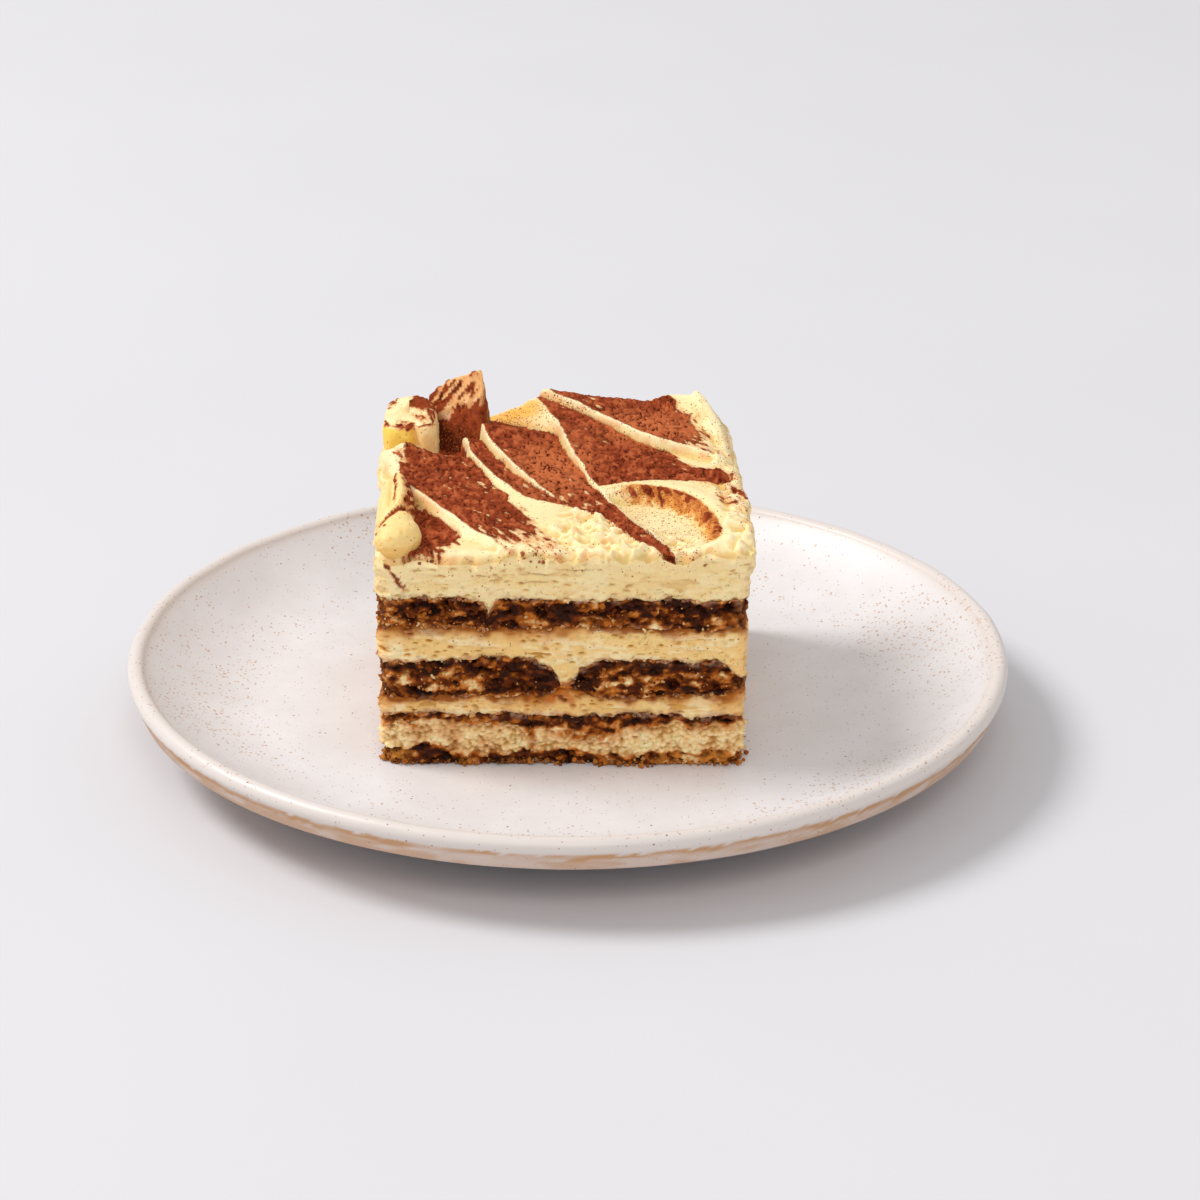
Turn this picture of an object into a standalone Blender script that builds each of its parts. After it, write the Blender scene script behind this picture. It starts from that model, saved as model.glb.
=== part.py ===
"""A cut portion of tiramisu on its round stoneware plate.

Blender units are metres and +Z is up.  The origin is the middle of the plate's foot, on the
table.  The portion stands in the middle of the well, with the cut side that shows its layers
best towards -Y.  From the plate up it is: soaked sponge fingers, cream, fingers, cream, fingers,
and a thick top of cream that a spoon has drawn into overlapping leaves, curls and a fin.

The dimensions below are in millimetres, and MM turns them into metres.
"""

import math

import bmesh
import bpy
import numpy as np

MM = 0.001

# --- plate ---------------------------------------------------------------------------------
PLATE_RADIUS = 100.0
PLATE_STEPS = 64            # facets round the plate
RIM_TOP = 20.0              # height of the rim over the table
RIM_ROLL = 2.0              # radius of the rolled edge
WELL_FLOOR = 7.0            # height of the flat floor that the food stands on
WELL_RADIUS = 70.0          # the floor is flat out to here, then the wall sweeps up
FOOT_RADIUS = 60.0          # outer radius of the foot ring
FOOT_WIDTH = 6.0
FOOT_HEIGHT = 3.0
FOOT_RECESS = 2.5           # height of the underside inside the foot ring
WALL_LEAN = math.radians(23)    # the outer wall leans in below the rim
WALL_DROP = 4.5             # height of that leaning band

# --- portion -------------------------------------------------------------------------------
WIDTH = 80.0
DEPTH = 76.0
CENTRE_X = -0.75
CORNER_RADIUS = 2.5         # upright edges of the cut block
GAP = 0.3                   # air between touching solids
FLARE = (3.6, 1.2)          # spread of the soft top cream in x and y, 50 mm up from its foot
FINGER_STEPS = 8            # slices along a finger
FINGER_BOW = 0.35           # a finger's soft waviness

BASE = WELL_FLOOR + GAP
LOWER_CREAM = WELL_FLOOR + 12.7     # where each layer starts, as a height over the table
MIDDLE_FINGERS = WELL_FLOOR + 16.3
MIDDLE_CREAM = WELL_FLOOR + 25.7
TOP_FINGERS = WELL_FLOOR + 32.4
TOP_CREAM = WELL_FLOOR + 40.4
SEAM = 28.0                 # where the lower and the middle cream meet between the fingers
TOP_SEAM = 45.5             # how far the top cream sinks between the top fingers

# Fingers: name, left and right side, bottom, top, rounding of the left and the right side.
LEFT = CENTRE_X - WIDTH / 2
RIGHT = CENTRE_X + WIDTH / 2
FINGERS = (
    ("bottom_biscuit_left", LEFT, -7.9, BASE, LOWER_CREAM, 0.0, 2.2),
    ("bottom_biscuit_right", -6.7, RIGHT, BASE, LOWER_CREAM, 2.2, 0.0),
    ("middle_biscuit_left", LEFT, -2.2, MIDDLE_FINGERS, MIDDLE_CREAM, 1.2, 4.0),
    ("middle_biscuit_right", 2.0, RIGHT, MIDDLE_FINGERS, MIDDLE_CREAM, 4.0, 2.6),
    ("top_biscuit_left", LEFT, -16.9, TOP_FINGERS, TOP_CREAM, 0.8, 2.0),
    ("top_biscuit_right", -15.8, RIGHT, TOP_FINGERS, TOP_CREAM, 2.0, 0.8),
)

# --- swirled top ---------------------------------------------------------------------------
TOP_FRONT = 57.0            # mean height of the top along its front edge
TOP_RISE = 0.042            # rise of the mean plane towards the back
TOP_STEP = 2.1              # size of the grid that carries the swirls
TOP_SAMPLES = 3             # heights are averaged over this many places each way in a step
TOP_MARGIN = 3.0            # the grid is cut to the block, so it starts this much wider
SOFTEN = 0.25               # the spoon's strokes melt into each other over this height

# Strokes from back to front: place along y, crest at x, height over the mean plane, slope of
# the leaf to the right of the crest, slope of the bare face to its left.
LEAVES = (
    # the broad leaf at the front left
    ((16, -41.0, -1.0, .15, 2.0), (8, -40.0, 1.5, .17, 2.0), (2, -38.6, 3.0, .17, 2.0),
     (-6.6, -36.6, 2.9, .17, 2.0), (-12.5, -34.5, 2.8, .18, 1.6), (-17.5, -31.0, 2.9, .20, 1.0),
     (-21, -27.5, 2.8, .20, .7), (-28, -21.8, 2.4, .20, .55), (-33.8, -14.2, 1.2, .15, .5),
     (-40, -6.0, -1.2, .10, .5)),
    # the narrow leaf beside it
    ((26, -24.2, -.5, .40, 3.0), (18.1, -22.6, 2.0, .42, 3.0), (10.8, -20.0, 2.2, .42, 1.8),
     (1.2, -16.2, 2.4, .40, .9), (-5.7, -13.8, 2.3, .40, .6), (-9.2, -11.6, 2.3, .35, .4),
     (-13.9, -7.1, 2.0, .30, .25), (-15.5, -1.5, 1.6, .25, .15), (-17, 4.0, .3, .20, .1),
     (-20, 9.0, -3.0, .20, .1)),
    # the long middle leaf
    ((38, -22.5, .5, .20, 3.0), (30, -21.0, 2.6, .26, 3.0), (22.6, -19.5, 3.9, .27, 4.0),
     (12, -15.5, 3.8, .26, 4.0), (4.8, -11.8, 2.5, .20, 3.0), (.9, -8.4, 1.5, .15, 3.0),
     (-1.5, -6.6, 1.3, .12, 3.0), (-8.9, -2.3, .9, .10, 2.0), (-16, 3.0, -.5, .05, 1.0),
     (-24, 9.0, -3.0, .05, 1.0)),
    # the largest leaf, whose crest runs on as the left lip of the scoop
    ((38.5, -7.2, 6.0, .20, 3.0), (32.3, -6.6, 6.8, .20, 3.5), (28.5, -4.9, 5.8, .20, 3.5),
     (20.2, -2.0, 5.2, .20, 3.5), (12.2, .8, 3.7, .16, 3.5), (7.4, 2.7, 3.0, .12, 3.5),
     (1.3, 5.0, 1.9, .02, 3.0), (-3.5, 6.8, 1.5, -.03, 3.0), (-6.5, 8.2, 1.0, .0, 3.0),
     (-13.1, 11.7, .7, .05, 3.0), (-20.7, 16.0, .6, .08, 3.0), (-29.1, 21.4, .5, .08, 3.0),
     (-36, 26.4, .2, .08, 3.0), (-40, 29.0, -.6, .10, 3.0)),
)

# Strokes from left to right: place along x, crest at y, height over the mean plane, slope
# behind the crest, slope in front of it.
CROSS_STROKES = (
    # the leaf along the back
    ((-10, 38, 1.0, .20, 1.0), (-7.6, 37, 6.0, .30, 1.5), (-6.1, 36, 9.0, .30, 2.0),
     (-2.5, 34.8, 7.2, .20, 3.0), (2.9, 33, 5.2, .0, 3.0), (9, 29, 4.7, .0, 3.0),
     (15.2, 25.5, 4.2, .0, 3.0), (21.1, 21, 4.4, .0, 2.5), (26.9, 17.3, 4.4, .03, 1.8),
     (31.6, 15.5, 3.4, .10, 1.2), (36, 14.5, 1.4, .20, .8), (42, 13, -1.0, .20, .8)),
    # the peak at the back right corner
    ((15, 38.5, 2.0, 2.5, .5), (20, 37, 4.5, 2.5, .5), (24, 36, 6.4, 2.5, .45),
     (30, 35, 7.2, 2.5, .5), (35, 33, 4.5, 1.6, .5), (38, 31, 1.0, 1.5, .5),
     (41, 30, -3.0, 1.5, .6)),
    # the fin that stands at the back left
    ((-36, 36.5, .0, 2.5, .8), (-33, 35, 4.5, 2.5, .9), (-27.6, 32.5, 11.0, 2.8, .95),
     (-23.5, 31.2, 13.2, 2.8, 1.0), (-21.2, 30.5, 13.6, 2.8, 1.05), (-19.8, 29, 10.5, 2.8, 1.2),
     (-18.6, 27, 3.0, 2.8, 1.5), (-17.5, 25, -4.0, 2.8, 1.5)),
)

# Round lobes: middle x and y, half length in x and y, height over the mean plane, turn in degrees.
LOBES = (
    (-36.6, 25.0, 5.8, 8.6, 6.8, 4.0),      # the thick curl at the back left corner
    (-38.2, -21.0, 4.3, 17.0, 4.6, 8.0),    # the folded curl along the left edge
    (-36.2, -33.0, 4.6, 5.5, 4.2, 0.0),     # its round front end
)

# The scoop taken out below the largest leaf: its middle, its rim round from the left lip, how
# deep it is, how wide its wall is.
SCOOP_MIDDLE = (21.0, -18.0)
SCOOP_RIM = ((6.6, -5.5), (11.7, -6.4), (18.4, -3.6), (24.0, -3.0), (29.5, -5.0), (33.2, -9.5),
             (35.2, -16.0), (35.4, -24.0), (33.0, -32.0), (28.5, -37.5))
SCOOP_DEPTH = 3.2
SCOOP_WALL = 3.2
SCOOP_LEAF = 3              # the leaf whose crest is the scoop's left lip

# --- colours: base colour, roughness -------------------------------------------------------
GLAZE = ((0.68, 0.64, 0.60), 0.35)
CREAM = ((0.90, 0.78, 0.50), 0.50)
SPONGE = ((0.50, 0.30, 0.13), 0.80)
SOAKED_SPONGE = ((0.20, 0.08, 0.03), 0.70)


# --- helpers -------------------------------------------------------------------------------

def clear_scene():
    for obj in list(bpy.data.objects):
        bpy.data.objects.remove(obj, do_unlink=True)


def make_collection(name):
    collection = bpy.data.collections.new(name)
    bpy.context.scene.collection.children.link(collection)
    return collection


def make_material(name, colour, roughness):
    material = bpy.data.materials.new(name)
    material.use_nodes = True
    shader = material.node_tree.nodes["Principled BSDF"]
    shader.inputs["Base Color"].default_value = (*colour, 1.0)
    shader.inputs["Roughness"].default_value = roughness
    shader.inputs["Metallic"].default_value = 0.0
    return material


def add_object(name, bm, collection, material=None):
    """Makes an object of a bmesh that was worked out in millimetres."""
    bmesh.ops.scale(bm, vec=(MM, MM, MM), verts=bm.verts)
    mesh = bpy.data.meshes.new(name)
    bm.to_mesh(mesh)
    bm.free()
    obj = bpy.data.objects.new(name, mesh)
    collection.objects.link(obj)
    if material:
        mesh.materials.append(material)
    return obj


def hide_cutter(obj):
    obj.hide_render = True
    obj.display_type = "WIRE"


def add_boolean(obj, cutter, operation):
    modifier = obj.modifiers.new(f"{operation.lower()} {cutter.name}", "BOOLEAN")
    modifier.operation = operation
    modifier.object = cutter
    modifier.solver = "EXACT"


# --- plate ---------------------------------------------------------------------------------

def arc(middle, radius, start, end, steps):
    """Points on a circle in the profile's plane, from one angle to another."""
    angles = [start + (end - start) * i / steps for i in range(steps + 1)]
    return [(middle[0] + radius * math.cos(a), middle[1] + radius * math.sin(a)) for a in angles]


def sweep(start, end, power, steps):
    """Points from start to end that leave it level and steepen by the given power."""
    points = []
    for i in range(1, steps + 1):
        t = i / steps
        points.append((start[0] + (end[0] - start[0]) * t,
                       start[1] + (end[1] - start[1]) * t ** power))
    return points


def plate_profile():
    """Half section of the plate from the middle of the well, over the rim, to the underside."""
    roll = (PLATE_RADIUS - RIM_ROLL, RIM_TOP - RIM_ROLL)
    rim = arc(roll, RIM_ROLL, math.pi * 0.85, -WALL_LEAN, 6)
    well = [(0.0, WELL_FLOOR), (WELL_RADIUS, WELL_FLOOR)]
    wall_foot = (rim[-1][0] - WALL_DROP * math.tan(WALL_LEAN), rim[-1][1] - WALL_DROP)
    foot_outer = (FOOT_RADIUS, FOOT_HEIGHT)
    underside = sweep(foot_outer, wall_foot, 2.2, 5)[::-1]
    foot_inner = FOOT_RADIUS - FOOT_WIDTH
    foot = [foot_outer, (FOOT_RADIUS - 1.0, 0.0), (foot_inner + 1.0, 0.0),
            (foot_inner, FOOT_RECESS), (0.0, FOOT_RECESS)]
    return well + sweep(well[-1], rim[0], 2.0, 6)[:-1] + rim + underside + foot


def make_plate(collection, material):
    bm = bmesh.new()
    points = [bm.verts.new((r, 0.0, z)) for r, z in plate_profile()]
    for a, b in zip(points, points[1:]):
        bm.edges.new((a, b))
    plate = add_object("plate", bm, collection, material)
    screw = plate.modifiers.new("turn", "SCREW")
    screw.axis = "Z"
    screw.angle = 2 * math.pi
    screw.steps = screw.render_steps = PLATE_STEPS
    screw.use_merge_vertices = True
    screw.merge_threshold = 0.00001
    return plate


# --- sponge fingers ------------------------------------------------------------------------

def bow(points_y, phase):
    """A finger's sideways and upward waviness along its length."""
    turn = 2 * math.pi * points_y / DEPTH
    side = FINGER_BOW * math.sin(0.8 * turn + phase)
    lift = FINGER_BOW * math.cos(1.3 * turn + 2 * phase)
    return side, lift


def finger_mesh(left, right, bottom, top, round_left, round_right, phase, grow=0.0):
    """A finger that runs from front to back: a bar with rounded long edges, a little bowed.

    With grow it is that much larger all round and runs out of the block, as a cutter.
    """
    bm = bmesh.new()
    bmesh.ops.create_cube(bm, size=1.0)
    length = DEPTH + 8 * grow
    size = (right - left + 2 * grow, length, top - bottom + 2 * grow)
    bmesh.ops.scale(bm, vec=size, verts=bm.verts)
    for side, radius in ((-1, round_left), (1, round_right)):
        if radius:
            along = [e for e in bm.edges
                     if abs(e.verts[0].co.y - e.verts[1].co.y) > length / 2
                     and e.verts[0].co.x * side > 0]
            bmesh.ops.bevel(bm, geom=along, offset=radius + grow, segments=4, profile=0.5,
                            affect="EDGES")
    lengthways = [e for e in bm.edges if abs(e.verts[0].co.y - e.verts[1].co.y) > length / 2]
    bmesh.ops.subdivide_edges(bm, edges=lengthways, cuts=FINGER_STEPS - 1)
    bmesh.ops.translate(bm, vec=((left + right) / 2, 0.0, (bottom + top) / 2), verts=bm.verts)
    resting = bottom == BASE
    for vert in bm.verts:
        side, lift = bow(vert.co.y, phase)
        inner = min(1.0, max(0.0, min(vert.co.x - LEFT, RIGHT - vert.co.x) / 4))
        vert.co.x += side * inner
        if not (resting and vert.co.z < BASE + 1):
            vert.co.z += lift
    return bm


def block_mesh(bottom, top, flare=(0.0, 0.0)):
    """The upright block that the knife cuts, with rounded upright edges.

    Its top stands out by flare to each side and to the front and back.
    """
    bm = bmesh.new()
    bmesh.ops.create_cube(bm, size=1.0)
    bmesh.ops.scale(bm, vec=(WIDTH, DEPTH, top - bottom), verts=bm.verts)
    upright = [e for e in bm.edges if abs(e.verts[0].co.z - e.verts[1].co.z) > (top - bottom) / 2]
    bmesh.ops.bevel(bm, geom=upright, offset=CORNER_RADIUS, segments=4, profile=0.5,
                    affect="EDGES")
    high = [v for v in bm.verts if v.co.z > 0]
    spread = (1 + 2 * flare[0] / WIDTH, 1 + 2 * flare[1] / DEPTH, 1.0)
    bmesh.ops.scale(bm, vec=spread, verts=high)
    bmesh.ops.translate(bm, vec=(CENTRE_X, 0.0, (bottom + top) / 2), verts=bm.verts)
    return bm


def make_fingers(collection, cutters, materials):
    """Each finger is trimmed to the block, and gets a larger twin that cuts the cream."""
    outline = add_object("cut_block", block_mesh(0.0, 2 * TOP_CREAM), cutters)
    hide_cutter(outline)
    twins = {}
    for index, (name, *shape) in enumerate(FINGERS):
        phase = 1.7 * (index // 2)      # both fingers of a layer bow together
        finger = add_object(name, finger_mesh(*shape, phase), collection, materials[name])
        add_boolean(finger, outline, "INTERSECT")
        twin = add_object(f"room_for_{name}", finger_mesh(*shape, phase, GAP), cutters)
        hide_cutter(twin)
        twins[name] = twin
    return twins


# --- cream layers --------------------------------------------------------------------------

def make_cream_layer(name, bottom, top, around, collection, material):
    """A slab of cream from one height to another, cut round the fingers that press into it."""
    cream = add_object(name, block_mesh(bottom, top), collection, material)
    for twin in around:
        add_boolean(cream, twin, "DIFFERENCE")
    return cream


def through(place, table):
    """Smooth curves through a table's rows, whose first column is the place along the stroke."""
    rows = np.array(sorted(table), float)
    knots, values = rows[:, 0], rows[:, 1:]
    slopes = np.gradient(values, knots, axis=0)
    place = np.clip(place, knots[0], knots[-1])
    i = np.clip(np.searchsorted(knots, place, side="right") - 1, 0, len(knots) - 2)
    span = (knots[i + 1] - knots[i])[..., None]
    t = (place - knots[i])[..., None] / span
    return ((2 * t**3 - 3 * t**2 + 1) * values[i] + (t**3 - 2 * t**2 + t) * span * slopes[i]
            + (3 * t**2 - 2 * t**3) * values[i + 1] + (t**3 - t**2) * span * slopes[i + 1])


def stroke(along, across, table):
    """Height of one spoon stroke and the distance from its crest.

    The height is the crest's, less a fall on the far side (the leaf) and a steeper fall on the
    near side (the bare face).
    """
    crest, height, leaf, face = np.moveaxis(through(along, table), -1, 0)
    step = 0.2
    turn = (through(along + step, table)[..., 0] - crest) / step
    away = (across - crest) / np.sqrt(1 + turn**2)
    return height - face * np.maximum(-away, 0) - leaf * np.maximum(away, 0), away


def melt(a, b):
    """The larger of two heights, rounded where they meet."""
    return (a + b + np.sqrt((a - b)**2 + SOFTEN**2)) / 2


def lobe(x, y, middle_x, middle_y, half_x, half_y, height, turn):
    """A dome with steep sides: height times the square root of one less the radius squared."""
    c, s = math.cos(math.radians(turn)), math.sin(math.radians(turn))
    u = ((x - middle_x) * c + (y - middle_y) * s) / half_x
    v = (-(x - middle_x) * s + (y - middle_y) * c) / half_y
    return height * np.sqrt(np.maximum(1 - u**2 - v**2, 0)) - 3 * (u**2 + v**2 > 1)


def scoop(x, y, height, past_lip):
    """Lowers the height inside the scoop's rim: a wall that eases down onto a level floor."""
    middle_x, middle_y = SCOOP_MIDDLE
    rim = np.array(SCOOP_RIM) - SCOOP_MIDDLE
    bearing = np.arctan2(rim[:, 1], rim[:, 0])
    order = np.argsort(bearing)
    reach = np.interp(np.arctan2(y - middle_y, x - middle_x), bearing[order],
                      np.hypot(rim[:, 0], rim[:, 1])[order], period=2 * math.pi)
    inside = reach - np.hypot(x - middle_x, y - middle_y)
    ease = np.clip(inside / SCOOP_WALL, 0, 1)
    floor = SCOOP_DEPTH * (1 - ease**2 * (3 - 2 * ease)) + np.exp(-np.maximum(past_lip, 0) / 1.5)
    return np.where((inside > 0) & (past_lip > 0), np.minimum(height, floor), height)


def top_height(x, y):
    """Height of the swirled top over the table at each x and y."""
    height = np.zeros_like(x)
    for number, table in enumerate(LEAVES):
        rise, away = stroke(y, x, table)
        height = melt(height, rise)
        if number == SCOOP_LEAF:
            past_lip = away
    for table in CROSS_STROKES:
        height = melt(height, stroke(x, y, table)[0])
    for shape in LOBES:
        height = melt(height, lobe(x, y, *shape))
    height = scoop(x, y, height, past_lip)
    return TOP_FRONT + TOP_RISE * (y + DEPTH / 2) + height


def averaged_height(x, y):
    """The top's height averaged over one grid step, so that steep faces don't turn into stairs."""
    offsets = (np.arange(TOP_SAMPLES) / TOP_SAMPLES - 0.5 + 0.5 / TOP_SAMPLES) * TOP_STEP
    return sum(top_height(x + dx, y + dy) for dx in offsets for dy in offsets) / TOP_SAMPLES**2


def make_top_cream(around, collection, cutters, material):
    """A grid raised to the swirled height over a flat base, cut to the block and the fingers."""
    half_x, half_y = WIDTH / 2 + TOP_MARGIN, DEPTH / 2 + TOP_MARGIN
    bm = bmesh.new()
    bmesh.ops.create_grid(bm, x_segments=round(2 * half_x / TOP_STEP),
                          y_segments=round(2 * half_y / TOP_STEP), size=1.0)
    bmesh.ops.scale(bm, vec=(half_x, half_y, 1.0), verts=bm.verts)
    bmesh.ops.translate(bm, vec=(CENTRE_X, 0.0, TOP_SEAM), verts=bm.verts)
    raised = bmesh.ops.extrude_face_region(bm, geom=bm.faces[:], use_keep_orig=True)["geom"]
    top = [v for v in raised if isinstance(v, bmesh.types.BMVert)]
    heights = averaged_height(np.array([v.co.x for v in top]), np.array([v.co.y for v in top]))
    for vert, height in zip(top, heights):
        vert.co.z = height
    under = [f for f in bm.faces if all(v.co.z <= TOP_SEAM for v in f.verts)]
    bmesh.ops.dissolve_faces(bm, faces=under, use_verts=True)
    bmesh.ops.recalc_face_normals(bm, faces=bm.faces)
    cream = add_object("cream_top", bm, collection, material)
    outline = add_object("top_block", block_mesh(TOP_CREAM, TOP_CREAM + 50, FLARE), cutters)
    hide_cutter(outline)
    add_boolean(cream, outline, "INTERSECT")
    for twin in around:
        add_boolean(cream, twin, "DIFFERENCE")
    return cream


# --- the whole -----------------------------------------------------------------------------

def main():
    clear_scene()
    parts = make_collection("tiramisu_portion")
    cutters = make_collection("cutters")
    glaze = make_material("glaze", *GLAZE)
    cream = make_material("cream", *CREAM)
    sponge = make_material("sponge", *SPONGE)
    soaked = make_material("soaked_sponge", *SOAKED_SPONGE)
    crumb = {name: sponge if name.startswith("bottom") else soaked for name, *_ in FINGERS}

    make_plate(parts, glaze)
    room = make_fingers(parts, cutters, crumb)
    bottom, middle, top = [[twin for name, twin in room.items() if name.startswith(layer)]
                           for layer in ("bottom", "middle", "top")]
    make_cream_layer("cream_lower", LOWER_CREAM - 2.0, SEAM - GAP, bottom + middle, parts, cream)
    make_cream_layer("cream_middle", SEAM, TOP_SEAM - GAP, middle + top, parts, cream)
    make_top_cream(top, parts, cutters, cream)


main()
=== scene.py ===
"""Looks of a portion of tiramisu on its stoneware plate.

Shapes are worked out in millimetres, in the CAD's own frame, and turned into metres when a mesh
is made.  The block of food is a stack of closed layers.  Each layer lies between two height
surfaces, one under it and one over it, and is closed by a wall along the block's outline.  Two
layers that touch share the surface between them.  Walls are pushed in and out along their own
normal: crumbs and pits on sponge, pores and knife drags on cream.
"""
import math

import bpy
import numpy as np
from mathutils import Euler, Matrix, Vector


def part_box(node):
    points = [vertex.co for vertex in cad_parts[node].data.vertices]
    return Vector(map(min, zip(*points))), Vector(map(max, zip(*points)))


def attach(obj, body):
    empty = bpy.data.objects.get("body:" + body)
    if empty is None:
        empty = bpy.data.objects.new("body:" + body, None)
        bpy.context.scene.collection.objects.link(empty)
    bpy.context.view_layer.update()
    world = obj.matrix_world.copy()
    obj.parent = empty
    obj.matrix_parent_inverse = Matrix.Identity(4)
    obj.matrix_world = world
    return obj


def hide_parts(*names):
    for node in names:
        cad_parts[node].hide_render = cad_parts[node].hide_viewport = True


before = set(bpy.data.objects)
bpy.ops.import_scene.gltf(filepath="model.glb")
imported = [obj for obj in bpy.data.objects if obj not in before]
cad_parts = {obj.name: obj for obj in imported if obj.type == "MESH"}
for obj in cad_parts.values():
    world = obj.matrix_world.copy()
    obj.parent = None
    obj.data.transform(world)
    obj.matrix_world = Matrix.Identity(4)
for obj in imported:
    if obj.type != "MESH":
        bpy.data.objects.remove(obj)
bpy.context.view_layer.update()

MM = 0.001


# --- measures taken from the frame ---------------------------------------------------------

def node_box(name):
    """A node's lowest and highest corners in millimetres."""
    low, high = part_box(name)
    return np.array(low) / MM, np.array(high) / MM


PLATE_LOW, PLATE_HIGH = node_box("plate")
BLOCK_LOW, BLOCK_HIGH = node_box("cream_lower")
PLATE_RADIUS = PLATE_HIGH[0]
RIM_TOP = PLATE_HIGH[2]
LEFT, FRONT = BLOCK_LOW[0], BLOCK_LOW[1]
RIGHT, BACK = BLOCK_HIGH[0], BLOCK_HIGH[1]
MIDDLE_X = (LEFT + RIGHT) / 2
WIDTH, DEPTH = RIGHT - LEFT, BACK - FRONT
BASE = node_box("bottom_biscuit_left")[0][2]
WELL_FLOOR = BASE - 0.3
CORNER = 2.5


def level(name, end):
    """Mean height of a finger's underside (end 0) or top (end 1), without its waviness."""
    waviness = 0.35
    return node_box(name)[end][2] + (waviness if end == 0 else -waviness)


# A finger layer: heights of underside and top, place of the joint between its two fingers,
# rounding of the left and the right finger there, height at which the creams meet there.
LAYERS = {
    "bottom": (BASE, level("bottom_biscuit_left", 1) - 0.8,
               node_box("bottom_biscuit_left")[1][0], 1.0, 1.0, 15.0),
    "middle": (level("middle_biscuit_left", 0), level("middle_biscuit_left", 1) - 0.8,
               (node_box("middle_biscuit_left")[1][0] + node_box("middle_biscuit_right")[0][0]) / 2,
               6.5, 8.0, 26.0),
    "top": (level("top_biscuit_left", 0), level("top_biscuit_left", 1) - 1.0,
            node_box("top_biscuit_left")[1][0], 2.2, 2.4, 42.6),
}
OVERLAP = 0.5               # neighbouring fingers reach into each other by this much


# --- colours ---------------------------------------------------------------------------------

def tone(red, green, blue):
    """A colour named in everyday 0 to 255 values, as linear light."""
    c = np.array((red, green, blue)) / 255
    return np.where(c <= 0.04045, c / 12.92, ((c + 0.055) / 1.055) ** 2.4)


CREAM = tone(254, 229, 172)
CREAM_PALE = tone(255, 236, 190)
CREAM_CUT = tone(250, 214, 142)
CREAM_DEEP = tone(232, 178, 92)
CREAM_PINK = tone(196, 152, 120)
STAIN = tone(196, 108, 34)
COCOA = tone(150, 66, 36)
COCOA_DARK = tone(84, 28, 12)
COCOA_LIGHT = tone(196, 106, 62)
COCOA_HALO = tone(226, 142, 70)
AMBER = tone(238, 176, 70)
SPECK = tone(150, 84, 36)
# sponge from dry to soaked
WETNESS = np.array((0.0, 0.35, 0.65, 1.0))
WET_TONES = np.array((tone(255, 224, 164), tone(204, 118, 38), tone(114, 50, 12),
                      tone(54, 22, 7)))

# --- repeatable noise ------------------------------------------------------------------------

def lattice(ix, iy, iz, seed):
    """A repeatable random number from 0 to 1 for each whole-numbered place."""
    h = (ix * 374761393 + iy * 668265263 + iz * 1442695041 + seed * 974634777) & 0xFFFFFFFF
    h = ((h ^ (h >> 13)) * 1274126177) & 0xFFFFFFFF
    h = ((h ^ (h >> 15)) * 1911520717) & 0xFFFFFFFF
    return ((h ^ (h >> 16)) & 0xFFFFFF) / 0xFFFFFF


def noise(p, size, seed):
    """Smooth noise from -1 to 1: random values at whole places of p / size, blended by t²(3-2t)."""
    q = np.asarray(p) / size
    cell = np.floor(q).astype(np.int64)
    t = q - cell
    t = t * t * (3 - 2 * t)
    total = 0.0
    for dx in (0, 1):
        for dy in (0, 1):
            for dz in (0, 1):
                weight = (np.abs(1 - dx - t[..., 0]) * np.abs(1 - dy - t[..., 1])
                          * np.abs(1 - dz - t[..., 2]))
                total = total + weight * lattice(cell[..., 0] + dx, cell[..., 1] + dy,
                                                 cell[..., 2] + dz, seed)
    return 2 * total - 1


def rough_noise(p, size, seed, octaves=3, gain=0.5):
    """Noise plus finer noise: each octave has half the size and gain times the height."""
    size = np.asarray(size, float)
    return sum(gain**k * noise(p, size / 2**k, seed + k) for k in range(octaves))


def lumps(p, size, seed):
    """Distances to the nearest two of randomly placed points, one in each cell of the given size.

    The distances are in cells.  The third result is a random number for the nearest point.
    """
    q = np.asarray(p) / size
    cell = np.floor(q).astype(np.int64)
    first = np.full(q.shape[:-1], 9.0)
    second = np.full(q.shape[:-1], 9.0)
    number = np.zeros(q.shape[:-1])
    for dx in (-1, 0, 1):
        for dy in (-1, 0, 1):
            for dz in (-1, 0, 1):
                c = cell + (dx, dy, dz)
                reach = 0.0
                for axis in range(3):
                    place = c[..., axis] + lattice(c[..., 0], c[..., 1], c[..., 2], seed + axis)
                    reach = reach + (q[..., axis] - place) ** 2
                near = reach < first
                second = np.where(near, first, np.minimum(second, reach))
                number = np.where(near, lattice(c[..., 0], c[..., 1], c[..., 2], seed + 7), number)
                first = np.where(near, reach, first)
    return np.sqrt(first), np.sqrt(second), number


def ease(value, start, end):
    """0 before start, 1 after end, t²(3-2t) between."""
    t = np.clip((value - start) / (end - start), 0, 1)
    return t * t * (3 - 2 * t)


def mix(a, b, share):
    """a where share is 0, b where it is 1; share may be one number for each point."""
    share = np.asarray(share)[..., None]
    return a * (1 - share) + b * share


def points(x, y, z):
    return np.stack(np.broadcast_arrays(x, y, z), -1).astype(float)


# --- meshes ------------------------------------------------------------------------------------

def grid_quads(rows, columns, closed):
    """Quads of a grid whose vertices are numbered row by row; closed joins last column to first."""
    r = np.arange(rows - 1)[:, None]
    c = np.arange(columns if closed else columns - 1)[None, :]
    d = (c + 1) % columns
    corners = (r * columns + c, r * columns + d, (r + 1) * columns + d, (r + 1) * columns + c)
    return np.stack(np.broadcast_arrays(*corners), -1).reshape(-1, 4)


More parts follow.
